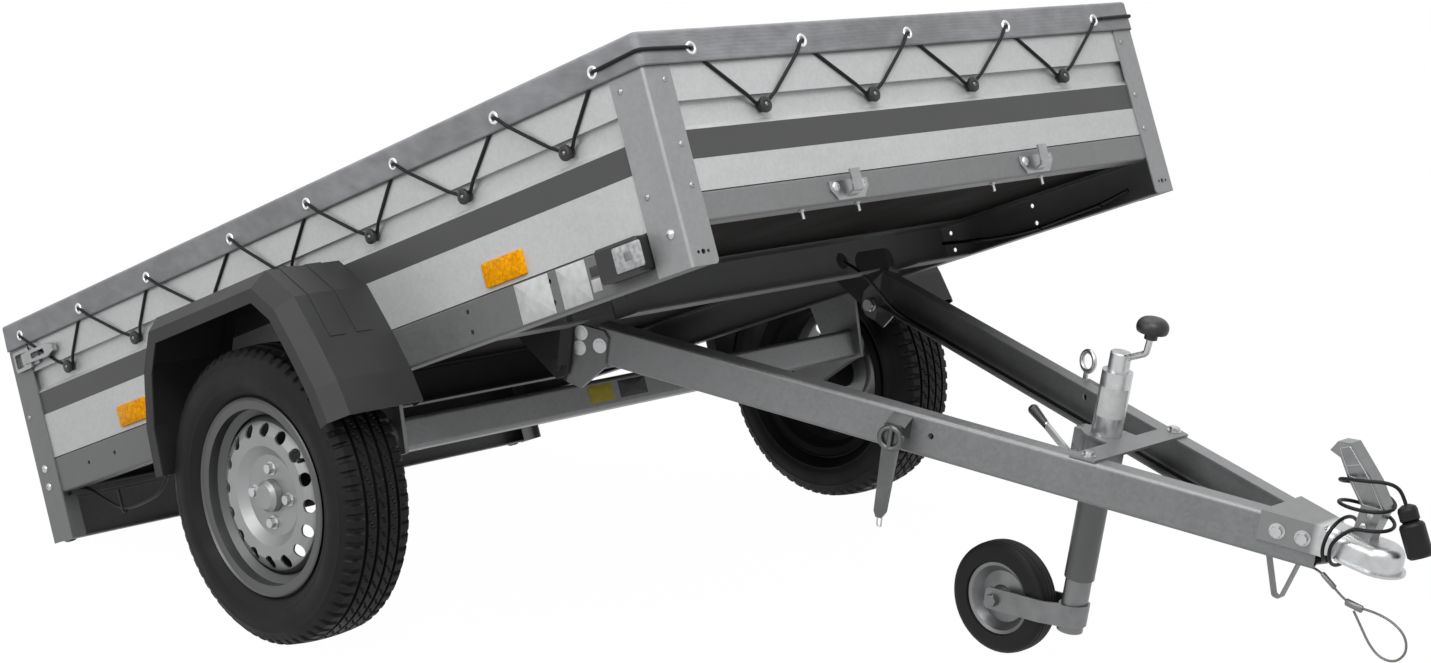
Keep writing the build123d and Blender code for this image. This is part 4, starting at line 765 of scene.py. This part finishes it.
def hem_run():
    """The cover's edge seen from above: forward along the right side, round the front and back along the left, with
    12 mm corner arcs. Gives points and outward directions."""
    r, front, out = 0.012, COVER_FRONT, COVER_OUT
    x = np.linspace(COVER_REAR, front - r, 420)
    y = np.linspace(-out + r, out - r, 270)
    a = np.linspace(-np.pi / 2, 0, 9)[1:-1]
    bend = np.stack([np.cos(a), np.sin(a)], -1)
    arc = np.array((front - r, -out + r)) + r * bend
    right = np.stack([x, np.full_like(x, -out)], -1)
    nose = np.stack([np.full_like(y, front), y], -1)
    points = np.concatenate([right, arc, nose, (arc * (1, -1))[::-1], (right * (1, -1))[::-1]])
    outward = np.concatenate([
        np.tile((0.0, -1.0), (len(x), 1)), bend, np.tile((1.0, 0.0), (len(y), 1)),
        (bend * (1, -1))[::-1], np.tile((0.0, 1.0), (len(x), 1)),
    ])
    return points, outward


def cover_skin():
    """Hem and top as one grid: the edge run by (hem section, then steps inwards to the middle line, where opposite
    points meet). The top sags as the product of two parabolas, with shallow ripples running in from the eyelets."""
    points, outward = hem_run()
    height, inset = hem_section()
    on_side = np.abs(outward[:, 1]) > 0.5
    along = np.where(on_side, points[:, 0], points[:, 1])
    levels = np.repeat(height[None], len(points), 0)
    side_puff = hem_offset(np.repeat(points[:, :1], len(height), 1), levels, SIDE_EYES)
    front_puff = hem_offset(np.repeat(points[:, 1:], len(height), 1), levels, FRONT_EYES)
    out = np.where(on_side[:, None], side_puff, front_puff) - inset
    hem = np.concatenate([points[:, None] + outward[:, None] * out[..., None], levels[..., None]], -1)
    t = np.linspace(0, 1, 40)[1:, None]
    rim = hem[:, -1, :2]
    spine_x = np.clip(rim[:, 0], -2.0150, -0.62)
    spine = np.stack([spine_x, 0 * spine_x], -1)
    flat = rim[:, None] + (spine - rim)[:, None] * t[None]
    x, y = flat[..., 0], flat[..., 1]
    ends = np.clip(-x / 0.25, 0, 1) * np.clip((x - COVER_REAR) / 0.2, 0, 1)
    sag = 0.010 * np.clip(1 - (y / 0.66) ** 2, 0, 1) * ends
    inward = t[None, :, 0]
    ripple = 0.0012 * np.sin(along[:, None] * 31.0) * np.exp(-inward * 6.0) * smooth_step(0.0, 0.1, inward)
    top = np.concatenate([flat, (HEM_HIGH - sag + ripple)[..., None]], -1)
    return np.concatenate([hem, top], 1)


cover = skin("tarpaulin", [on_bed(cover_skin())], "bed", CLOTH, ring=False, closed=False, angle=60)
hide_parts("cover")

flap_y = np.linspace(-0.652, 0.652, 240)
flap_rows = np.array([
    (-2.028, 0.3772), (-2.040, 0.3774), (-2.046, 0.3770), (-2.0503, 0.3752), (-2.0520, 0.3720),
    (-2.0524, 0.366), (-2.0526, 0.350), (-2.0528, 0.336), (-2.0528, 0.3235),
])
flap_wave = 0.0012 * np.sin(flap_y * 14.0)[None] * np.linspace(0, 1, len(flap_rows))[:, None] ** 2
flap_grid = np.stack([
    flap_rows[:, :1] - 0.0004 - np.abs(flap_wave),
    np.repeat(flap_y[None], len(flap_rows), 0),
    np.repeat(flap_rows[:, 1:], len(flap_y), 1),
], -1)
flap = skin("tarpaulin_flap", [on_bed(flap_grid)], "tailgate", CLOTH, ring=False, closed=False, angle=60)
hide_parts("cover_flap")
for cloth in (cover, flap):
    wall = cloth.modifiers.new("cloth", "SOLIDIFY")
    wall.thickness = CLOTH_THICK
    wall.offset = 0.0

# Eyelets, knobs and elastic lacing
EYELET = turned([
    (0.0058, -0.0012), (0.0062, 0.0016), (0.0072, 0.0026), (0.0100, 0.0024), (0.0116, 0.0010),
    (0.0118, -0.0012), (0.0058, -0.0012),
], 28)
KNOB = turned([
    (0, -0.004), (0.0100, -0.004), (0.0100, 0.0), (0.0075, 0.003), (0.0075, 0.009), (0.0130, 0.0105),
    (0.0138, 0.0130), (0.0130, 0.0165), (0.0105, 0.0180), (0.0060, 0.0180), (0.0052, 0.0168), (0.0, 0.0168),
], 28)
KNOB_SCREW = dome_head(0.0042, 0.003)
SCREW_SEAT = 0.0165
eyelets, knobs, screws, laces = [], [], [], []
bed_up = on_bed((0, 0, 1)) - on_bed((0, 0, 0))
bed_fore = on_bed((1, 0, 0)) - on_bed((0, 0, 0))
walls = []
for side, sign in SIDES:
    spots = [(x, sign * (COVER_OUT + 0.0002), EYE_Z) for x in SIDE_EYES]
    walls.append((spots, [(x, sign * GROOVE_Y, KNOB_Z) for x in SIDE_KNOBS], np.array((0, sign, 0))))
spots = [(FRONT_EYE_X, y, EYE_Z) for y in FRONT_EYES]
walls.append((spots, [(FRONT_KNOB_X, y, KNOB_Z) for y in FRONT_KNOBS], bed_fore))
for spots, posts, outward in walls:
    eyelets += stood(EYELET, on_bed(spots), outward)
    knobs += stood(KNOB, on_bed(posts), outward)
    screws += stood(KNOB_SCREW, on_bed(posts) + outward * SCREW_SEAT, outward)
skin("eyelets", eyelets, "bed", EYELET_RING)
skin("lacing_knobs", knobs, "bed", BLACK)
skin("knob_screws", screws, "bed", DULL_AND_SHADED)


def lace_run(eyes, posts, out_eye, out_post, out_wall):
    """The elastic's zigzag in one wall: in at an eyelet, down behind the hem, out under it, over the groove's lip and
    round a knob, then up over the hem to the next eyelet. Columns: distance along the wall, outwards, height."""
    step = np.sign(eyes[-1] - eyes[0])
    hem_share = (EYE_Z - HEM_LOW) / (EYE_Z - KNOB_Z)
    lip_share = (EYE_Z - LIP_Z) / (EYE_Z - KNOB_Z)
    rows = []
    for eye, post, after in zip(eyes[:-1], posts, eyes[1:]):
        down, up = post - step * KNOB_TURN, post + step * KNOB_TURN
        rows += [
            (eye - step * 0.006, out_eye + 0.0034, EYE_Z - 0.001),
            (eye, out_eye + 0.0030, EYE_Z),
            (eye + step * 0.002, out_wall, EYE_Z - 0.002),
            (eye + (down - eye) * lip_share, out_wall, LIP_Z),
            (down, out_post, KNOB_Z + 0.003),
            (post, out_post, KNOB_Z - KNOB_TURN),
            (up, out_post, KNOB_Z + 0.003),
            (after + (up - after) * lip_share, out_wall, LIP_Z),
            (after + (up - after) * hem_share, out_eye + 0.0036, HEM_LOW),
        ]
    return np.array(rows + [(eyes[-1], out_eye + 0.0030, EYE_Z), (eyes[-1], out_wall, EYE_Z)])


for side, sign in SIDES:
    zigzag = lace_run(SIDE_EYES, SIDE_KNOBS, COVER_OUT, GROOVE_Y + 0.006, GROOVE_Y + 0.0124)
    corner = np.array([
        (0.0010, 0.5510, 0.3460), (0.0068, 0.5600, 0.3475), (0.0068, COVER_OUT - 0.020, 0.3490),
        (0.0060, COVER_OUT - 0.0040, 0.3490), (0.0005, COVER_OUT + 0.0022, 0.3490),
        (-0.010, COVER_OUT + 0.0030, 0.3485),
    ])
    path = np.concatenate([corner, zigzag[1:]]) * (1, sign, 1)
    laces.append(tube(on_bed(eased(path, 0.006)), LACE_R, (0.02, 1.0, 0.01)))
zigzag = lace_run(FRONT_EYES, FRONT_KNOBS, FRONT_EYE_X, -0.007, -0.0007)[:, [1, 0, 2]]
laces.append(tube(on_bed(eased(zigzag, 0.006)), LACE_R, bed_fore))
skin("elastic_lacing", laces, "bed", ELASTIC)


def sticker(width, height, spot, outward, along):
    """A blank label on the bed: a very thin plate."""
    return stood(slab(width, height, LABEL_THICK, 0.001, 0.0001), on_bed([spot]), outward, along)


# Reflectors, blank labels and the marker lamps' glass
reflectors, labels = [], []
for side, sign in SIDES:
    outward = (0, sign, 0)
    spots = np.array([(-0.432, sign * 0.6622, 0.1045), (-1.640, sign * 0.6622, 0.106)])
    reflectors += stood(slab(0.106, 0.043, 0.006, 0.004, 0.0015), on_bed(spots), outward, bed_fore)
    for name, plate, spot, finish in (
        ("marker_glass", slab(0.066, 0.042, 0.003, 0.004, 0.0015), (-0.106, sign * 0.6915, 0.046), LENS),
        ("marker_bulb_seat", slab(0.018, 0.014, 0.001, 0.002, 0.0004), (-0.104, sign * 0.6942, 0.047), DULL_AND_SHADED),
    ):
        skin(f"{name}_{side}", stood(plate, on_bed([spot]), outward, bed_fore), "bed", finish)
skin("side_reflectors", reflectors, "bed", AMBER)
near_side = (0, -1, 0)
for x, z, width, height in (
    (-0.378, 0.0385, 0.088, 0.068),
    (-0.276, 0.0385, 0.072, 0.068),
    (-0.224, 0.0250, 0.022, 0.021),
):
    labels += sticker(width, height, (x, -LABEL_Y, z), near_side, bed_fore)
skin("rail_labels", labels, "bed", WHITE_LABEL)
small_label = sticker(0.021, 0.017, (-0.222, -LABEL_Y, 0.0475), near_side, bed_fore)
skin("small_rail_label", small_label, "bed", BLACK_LABEL)
for name, y, width, finish in (
    ("yellow_axle_label", -0.126, 0.064, YELLOW_LABEL),
    ("black_axle_label", -0.040, 0.074, BLACK_LABEL),
):
    skin(name, sticker(width, 0.034, (-0.863, y, -0.101), bed_fore, (0, 1, 0)), "bed", finish)
turn, level = np.meshgrid(np.radians(np.linspace(-115, 5, 25)), np.linspace(0.126, 0.177, 5), indexing="ij")
leg_label = np.stack([LEG_X + LEG_LABEL_R * np.cos(turn), LEG_LABEL_R * np.sin(turn), level], -1)
skin("leg_label", [on_bar(leg_label)], "jockey_leg", WHITE_LABEL, ring=False, closed=False)

# Bolts and rivets
side_heads, front_heads, side_bolts = [], [], []
for side, sign in SIDES:
    outward = (0, sign, 0)
    rivets = [(-0.060, z) for z in (0.128, 0.300)] + [(-2.038, 0.175), (-2.038, 0.285)]
    side_heads += stood(dome_head(0.0055, 0.0028), on_bed([(x, sign * POST_Y, z) for x, z in rivets]), outward)
    nuts = [(-0.030, 0.060), (-2.024, 0.060), (-2.024, 0.021)]
    side_bolts += stood(dome_head(0.0088, 0.0050), on_bed([(x, sign * POST_Y, z) for x, z in nuts]), outward)
    rows = [(0.0, sign * 0.622, z) for z in (0.128, 0.195, 0.300)]
    front_heads += stood(dome_head(0.0052, 0.0028), on_bed(rows), bed_fore)
skin("post_rivets", side_heads + front_heads, "bed", RIVET)
skin("post_bolts", side_bolts, "bed", STEEL)
under = [(-0.020, y, 0.068) for y in (-0.368, -0.227, 0.144, 0.288)]
rail_screw = turned([(0, 0), (0.0052, 0), (0.0052, 0.003), (0.003, 0.004), (0.003, 0.016), (0, 0.016)], 12)
skin("front_rail_screws", stood(rail_screw, on_bed(under), -bed_up), "bed", STEEL)

# Angle that closes the slot over the rear beam
slot_angle = stood(slab(1.280, 0.010, 0.002, 0.001, 0.0003), on_bed([(-1.986, 0, -0.0052)]), bed_fore, (0, 1, 0))
slot_angle += stood(slab(1.280, 0.028, 0.002, 0.001, 0.0003), on_bed([(-1.9980, 0, -0.0079)]), bed_up, (0, 1, 0))
skin("rear_slot_angle", slot_angle, "bed", TAIL_BEAM)

# Bolts of the drawbar and the catches, and the latches' split pins
bar_zero = on_bar((0, 0, 0))
bar_up = on_bar((0, 0, 1)) - bar_zero
HINGE_BOLTS = ((0.032, 0.0665), (0.032, 0.0385), (0.070, 0.0525))
STRAP_X = 0.921
hinge_washer = turned([(0, -0.001), (0.0135, -0.001), (0.0135, 0.0003), (0, 0.0003)], 24)
hinge_bolts, strap_bolts, coupling_bolts, pins, catch_bolts, pivot_nuts = [], [], [], [], [], []
for side, sign in SIDES:
    out = on_bar((math.sin(BEAM_LEAN), sign * math.cos(BEAM_LEAN), 0)) - bar_zero
    slope = math.cos(BEAM_LEAN)
    places = on_bar([(x, sign * (beam_y(x) + 0.006 / slope), z) for x, z in HINGE_BOLTS])
    hinge_bolts += stood(hex_bolt(0.017, 0.0065, 0.0100), places - out * 0.0057, out)
    hinge_bolts += stood(hinge_washer, places, out)
    places = [(x, sign * (beam_y(x) + 0.004 / slope), 0.066) for x in (1.239, 1.278)]
    coupling_bolts += stood(hex_bolt(0.017, 0.010, 0.0130), on_bar(places), out)
    strap_end = (STRAP_X, sign * (beam_y(STRAP_X) - 0.020), 0.093)
    strap_bolts += stood(hex_bolt(0.015, 0.008, 0.0120), on_bar([strap_end]), bar_up)
    places = [(0.001, sign * 0.260 + y, 0.0945) for y in (-0.034, 0.034)]
    catch_bolts += stood(dome_head(0.0085, 0.0045), on_bed(places), bed_fore)
    pivot_nuts += stood(hex_bolt(0.024, 0.011, 0.0140), on_bar([(0, sign * 0.4204, 0)]), (0, -sign, 0))
SPLIT_PIN = (
    (-0.004, 0.037, -0.078), (-0.003, 0.0375, -0.096), (-0.002, 0.038, -0.108),
    (0.005, 0.036, -0.110), (0.004, 0.036, -0.094), (0.004, 0.036, -0.078),
)
for sign, at_x in ((1, 0.640), (-1, 0.622)):
    along = np.array((math.cos(BEAM_LEAN), -sign * math.sin(BEAM_LEAN), 0))
    across = np.array((math.sin(BEAM_LEAN), sign * math.cos(BEAM_LEAN), 0))
    root = np.array((at_x, sign * beam_y(at_x), 0.0))
    for end in (1, -1):
        spot = root + along * end * 0.0135 + across * 0.037 + (0, 0, 0.052)
        pins += stood(hex_bolt(0.012, 0.006, 0.0075), on_bar([spot]), end * (on_bar(along) - bar_zero))
    path = [root + along * a + across * b + (0, 0, c) for a, b, c in SPLIT_PIN]
    pins.append(tube(on_bar(eased(path, 0.004)), 0.0014, (0.3, 0.9, 0.2)))

# Pressed beads on the coupling lever's sides and the heads of its two pins
LEVER_FOOT = np.array((1.392, 0.0, 0.093))
LEVER_BEADS = (
    ((-0.0060, 0.0548), (-0.0334, 0.0899), (-0.0805, 0.1333), (-0.0960, 0.1250)),
    ((-0.0390, 0.0517), (-0.0709, 0.0875), (-0.0880, 0.1130), (-0.0960, 0.1250)),
    ((-0.0060, 0.0548), (-0.0225, 0.0532), (-0.0390, 0.0517)),
    ((-0.0334, 0.0899), (-0.0520, 0.0887), (-0.0709, 0.0875)),
    ((-0.0570, 0.1117), (-0.0685, 0.1064), (-0.0800, 0.1010)),
)
LEVER_PINS = ((-0.024, 0.040), (-0.032, 0.018))
beads, lever_pins = [], []
for side, sign in SIDES:
    for run in LEVER_BEADS:
        path = LEVER_FOOT + np.array([(x, sign * 0.0148, z) for x, z in run])
        beads.append(tube(on_bar(eased(path, 0.003)), 0.0015, (0, sign, 0)))
    heads = LEVER_FOOT + np.array([(x, sign * 0.0150, z) for x, z in LEVER_PINS])
    lever_pins += stood(dome_head(0.0062, 0.0020), on_bar(heads), (0, sign, 0))
for name, shapes, body, finish in (
    ("pivot_nuts", pivot_nuts, "bed", STEEL),
    ("hinge_plate_bolts", hinge_bolts, "drawbar", STEEL),
    ("coupling_bolts", coupling_bolts, "drawbar", STEEL),
    ("lever_beads", beads, "drawbar", CATCH),
    ("lever_pins", lever_pins, "drawbar", STEEL),
    ("cross_strap_bolts", strap_bolts, "drawbar", STEEL),
    ("latch_pins", pins, "drawbar", STEEL),
    ("catch_bolts", catch_bolts, "bed", STEEL),
):
    skin(name, shapes, body, finish)


def cord_curve(name, points, radius, finish):
    """A cord as one smooth spline: the route's points are its control points."""
    data = bpy.data.curves.new(name, "CURVE")
    data.dimensions = "3D"
    data.bevel_depth = radius
    data.bevel_resolution = 4
    data.resolution_u = 6
    spline = data.splines.new("NURBS")
    spline.points.add(len(points) - 1)
    spline.points.foreach_set("co", np.concatenate([points, np.ones((len(points), 1))], 1).ravel())
    spline.order_u = 3
    spline.use_endpoint_u = True
    data.use_fill_caps = True
    data.materials.append(finish.material)
    obj = placed(name, data)
    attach(obj, "drawbar")
    return obj


# Plug cable: out of the beams, once round the neck of the coupling, twice round its lever and into the plug
NECK_X, NECK_Z, BALL_X = 1.306, 0.0715, 1.392
neck = np.radians(np.arange(-50, 371, 30))
neck_turn = np.stack([
    NECK_X + 0.012 + 0.012 * (np.degrees(neck) + 50) / 360,
    -0.050 * np.cos(neck),
    NECK_Z + 0.040 * np.sin(neck),
], -1)
wind = np.arange(0, 691, 30)
rise = 0.112 + 0.052 * wind / 630
lever_turns = np.stack([
    BALL_X - 0.034 - 0.2 * (rise - 0.112) + 0.046 * np.sin(np.radians(wind)),
    -0.038 * np.cos(np.radians(wind)),
    rise + 0.006 * np.maximum(0, wind - 630) / 30,
], -1)
lean = math.radians(30.9)
plug_top = np.array((BALL_X + 0.022, 0, 0.165))
plug_axis = np.array((-math.sin(lean), 0, math.cos(lean)))
plug_bend = plug_top + plug_axis * 0.031 + (0, -0.012, 0)
cable_route = np.concatenate([
    [
        (NECK_X - 0.046, 0.008, NECK_Z - 0.027),
        (NECK_X - 0.024, 0, NECK_Z - 0.035),
        (NECK_X - 0.004, -0.009, NECK_Z - 0.041),
    ],
    neck_turn,
    [(NECK_X + 0.037, -0.044, NECK_Z + 0.025)],
    lever_turns,
    [
        (plug_bend[0] - 0.038, -0.037, plug_bend[2] - 0.001),
        (plug_bend[0] - 0.016, -0.025, plug_bend[2] + 0.003),
        plug_bend,
        plug_top + plug_axis * 0.016,
        plug_top,
    ],
])
cable = cord_curve("plug_cable_line", on_bar(cable_route), 0.003, CABLE)
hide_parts("plug_cable")

# Safety wire: from the strap hook forwards, down into its loop and back to the sleeve
HOOK_X, WIRE_Y, FLANGE_Z = 1.282, -0.01069, 0.0175
wire_rows = np.array([
    (0.0, -0.0021), (0.018, -0.0021), (0.040, -0.012), (0.064, -0.028), (0.090, -0.037),
    (0.124, -0.032), (0.158, -0.035), (0.184, -0.049), (0.192, -0.074), (0.178, -0.096),
    (0.153, -0.100), (0.130, -0.087), (0.110, -0.064), (0.092, -0.0435),
])
wire_route = np.stack([HOOK_X + wire_rows[:, 0], np.full(len(wire_rows), WIRE_Y), FLANGE_Z + wire_rows[:, 1]], -1)
wire = cord_curve("safety_wire_line", on_bar(wire_route), 0.002, STRAND)
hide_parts("safety_wire")
sleeve = turned([(0, -0.015), (0.0034, -0.015), (0.0042, -0.0135), (0.0042, 0.0135), (0.0034, 0.015), (0, 0.015)], 16)
sleeves = []
for k, flat in ((2, 1.0), (4, 1.5)):
    run = on_bar(wire_route[k + 1] - wire_route[k - 1]) - bar_zero
    oval = sleeve * (flat, 1.0, 1.0)
    middle = wire_route[k] * 0.75 + 0.125 * (wire_route[k - 1] + wire_route[k + 1])
    sleeves += stood(oval, on_bar([middle]), run, bar_up)
crimps = skin("wire_sleeves", sleeves, "drawbar", DULL_AND_SHADED)

# Lighting harness: along the left beam's lower flange, over to the hole in the cross-member, and on along the left rail
flange_x = np.array([1.225, 1.13, 1.00, 0.86, 0.70, 0.54, 0.38, 0.26, 0.17])
flange_run = np.stack([flange_x, beam_y(flange_x) - np.linspace(0.016, 0.024, 9), np.full(9, 0.0238)], -1)
harness = np.concatenate([
    [(1.262, 0.008, 0.0440), (1.245, 0.020, 0.0360)],
    flange_run,
    [(0.110, 0.3560, 0.0300), (0.075, 0.3330, 0.0700), (0.045, 0.3080, 0.1010), (0.012, 0.2990, 0.1090)],
])
line = skin("drawbar_harness", [tube(on_bar(eased(harness, 0.03)), 0.003, bar_up)], None, CABLE)
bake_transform(line)
rail_run = np.array([
    (-0.545, 0.6150, 0.0385), (-0.452, 0.6180, 0.0214), (-0.375, 0.6180, 0.0100), (-0.297, 0.6180, 0.0066),
    (-0.193, 0.6180, 0.0120), (-0.143, 0.6180, 0.0130), (-0.071, 0.6180, 0.0238),
])
tail_run = np.array([
    (-1.985, -0.625, 0.004), (-1.932, -0.630, -0.003), (-1.878, -0.630, -0.040), (-1.812, -0.630, -0.074),
    (-1.711, -0.630, -0.070), (-1.655, -0.630, -0.060), (-1.600, -0.620, 0.004),
])
runs = [tube(on_bed(eased(run, 0.05, 9)), 0.0036, bed_up) for run in (rail_run, tail_run)]
tie = turned([(0.0034, -0.002), (0.0052, -0.002), (0.0052, 0.002), (0.0034, 0.002), (0.0034, -0.002)], 14)
ties = stood(tie, on_bed(rail_run[[1, 3, 5]]), bed_fore) + stood(tie, on_bed(tail_run[[3]]), bed_fore)
ties += stood(slab(0.007, 0.052, 0.004, 0.002, 0.001), on_bed([(-1.816, -0.6300, -0.0530)]), (0, -1, 0), bed_fore)
skin("bed_harness", runs + ties, "bed", CABLE)


def axes_at(x, y, z, place):
    """The matrix of an object at a place, from its three axes."""
    return Matrix([[*row, p] for row, p in zip(np.stack([x, y, z], 1), place)] + [[0, 0, 0, 1]])


# Camera at the photograph's place and angle
camera = placed("camera", bpy.data.cameras.new("camera"))
right, up, back = (0.72238, 0.69118, -0.02079), (-0.09614, 0.13015, 0.98682), (0.68478, -0.71086, 0.16047)
camera.matrix_world = axes_at(right, up, back, (3.58836, -3.35912, 1.26052))
camera.data.sensor_width = 36.0
camera.data.lens = 61.97
camera.data.clip_end = 200.0
bpy.context.scene.camera = camera
bpy.context.scene.view_settings.view_transform = "Standard"

# Pale floor, white surroundings and soft lamps
floor_mesh = bpy.data.meshes.new("floor")
floor_mesh.from_pydata([(-40, -40, 0), (40, -40, 0), (40, 40, 0), (-40, 40, 0)], [], [(0, 1, 2, 3)])
floor = placed("floor", floor_mesh)
ground = Finish("pale_floor", Roughness=0.9, Base_Color=(0.10, 0.10, 0.10, 1.0), Specular_IOR_Level=0.0)
paint = Reading(ground, ground.shader.outputs[0])
white = ground.node("ShaderNodeEmission", {}, {"Color": (1, 1, 1, 1), "Strength": 1.1})
blend = ground.node("ShaderNodeMixShader", {}, {0: ground.direct_rays() * 0.90, 1: paint, 2: white})
ground.tree.links.new(blend.socket, ground.tree.nodes["Material Output"].inputs["Surface"])
floor_mesh.materials.append(ground.material)

world = bpy.data.worlds.new("studio")
bpy.context.scene.world = world
world.use_nodes = True
studio = Network(world.node_tree)
sky = studio.tree.nodes["Background"]
sky.inputs["Color"].default_value = (1, 1, 1, 1)
sky.inputs["Strength"].default_value = 0.55
lit = Reading(studio, sky.outputs[0])
plain = studio.node("ShaderNodeBackground", {}, {"Color": (1, 1, 1, 1)})
choice = studio.node("ShaderNodeMixShader", {}, {0: studio.direct_rays(), 1: lit, 2: plain})
studio.tree.links.new(choice.socket, studio.tree.nodes["World Output"].inputs[0])

LAMPS = (
    # name, place, target, size, power
    ("key_lamp", (3.2, -2.2, 4.6), (0.2, 0.0, 0.6), 3.0, 170.0),
    ("side_lamp", (0.2, -4.6, 3.0), (0.0, -0.3, 0.5), 3.0, 85.0),
    ("top_lamp", (0.0, 1.0, 5.0), (0.0, 0.0, 0.6), 4.0, 80.0),
)
for name, place, target, size, power in LAMPS:
    lamp = placed(name, bpy.data.lights.new(name, "AREA"))
    lamp.data.shape = "DISK"
    lamp.data.size = size
    lamp.data.energy = power
    back = unit(np.array(place) - np.array(target))
    x = unit(np.cross((0, 0, 1), back))
    lamp.matrix_world = axes_at(x, np.cross(back, x), back, place)
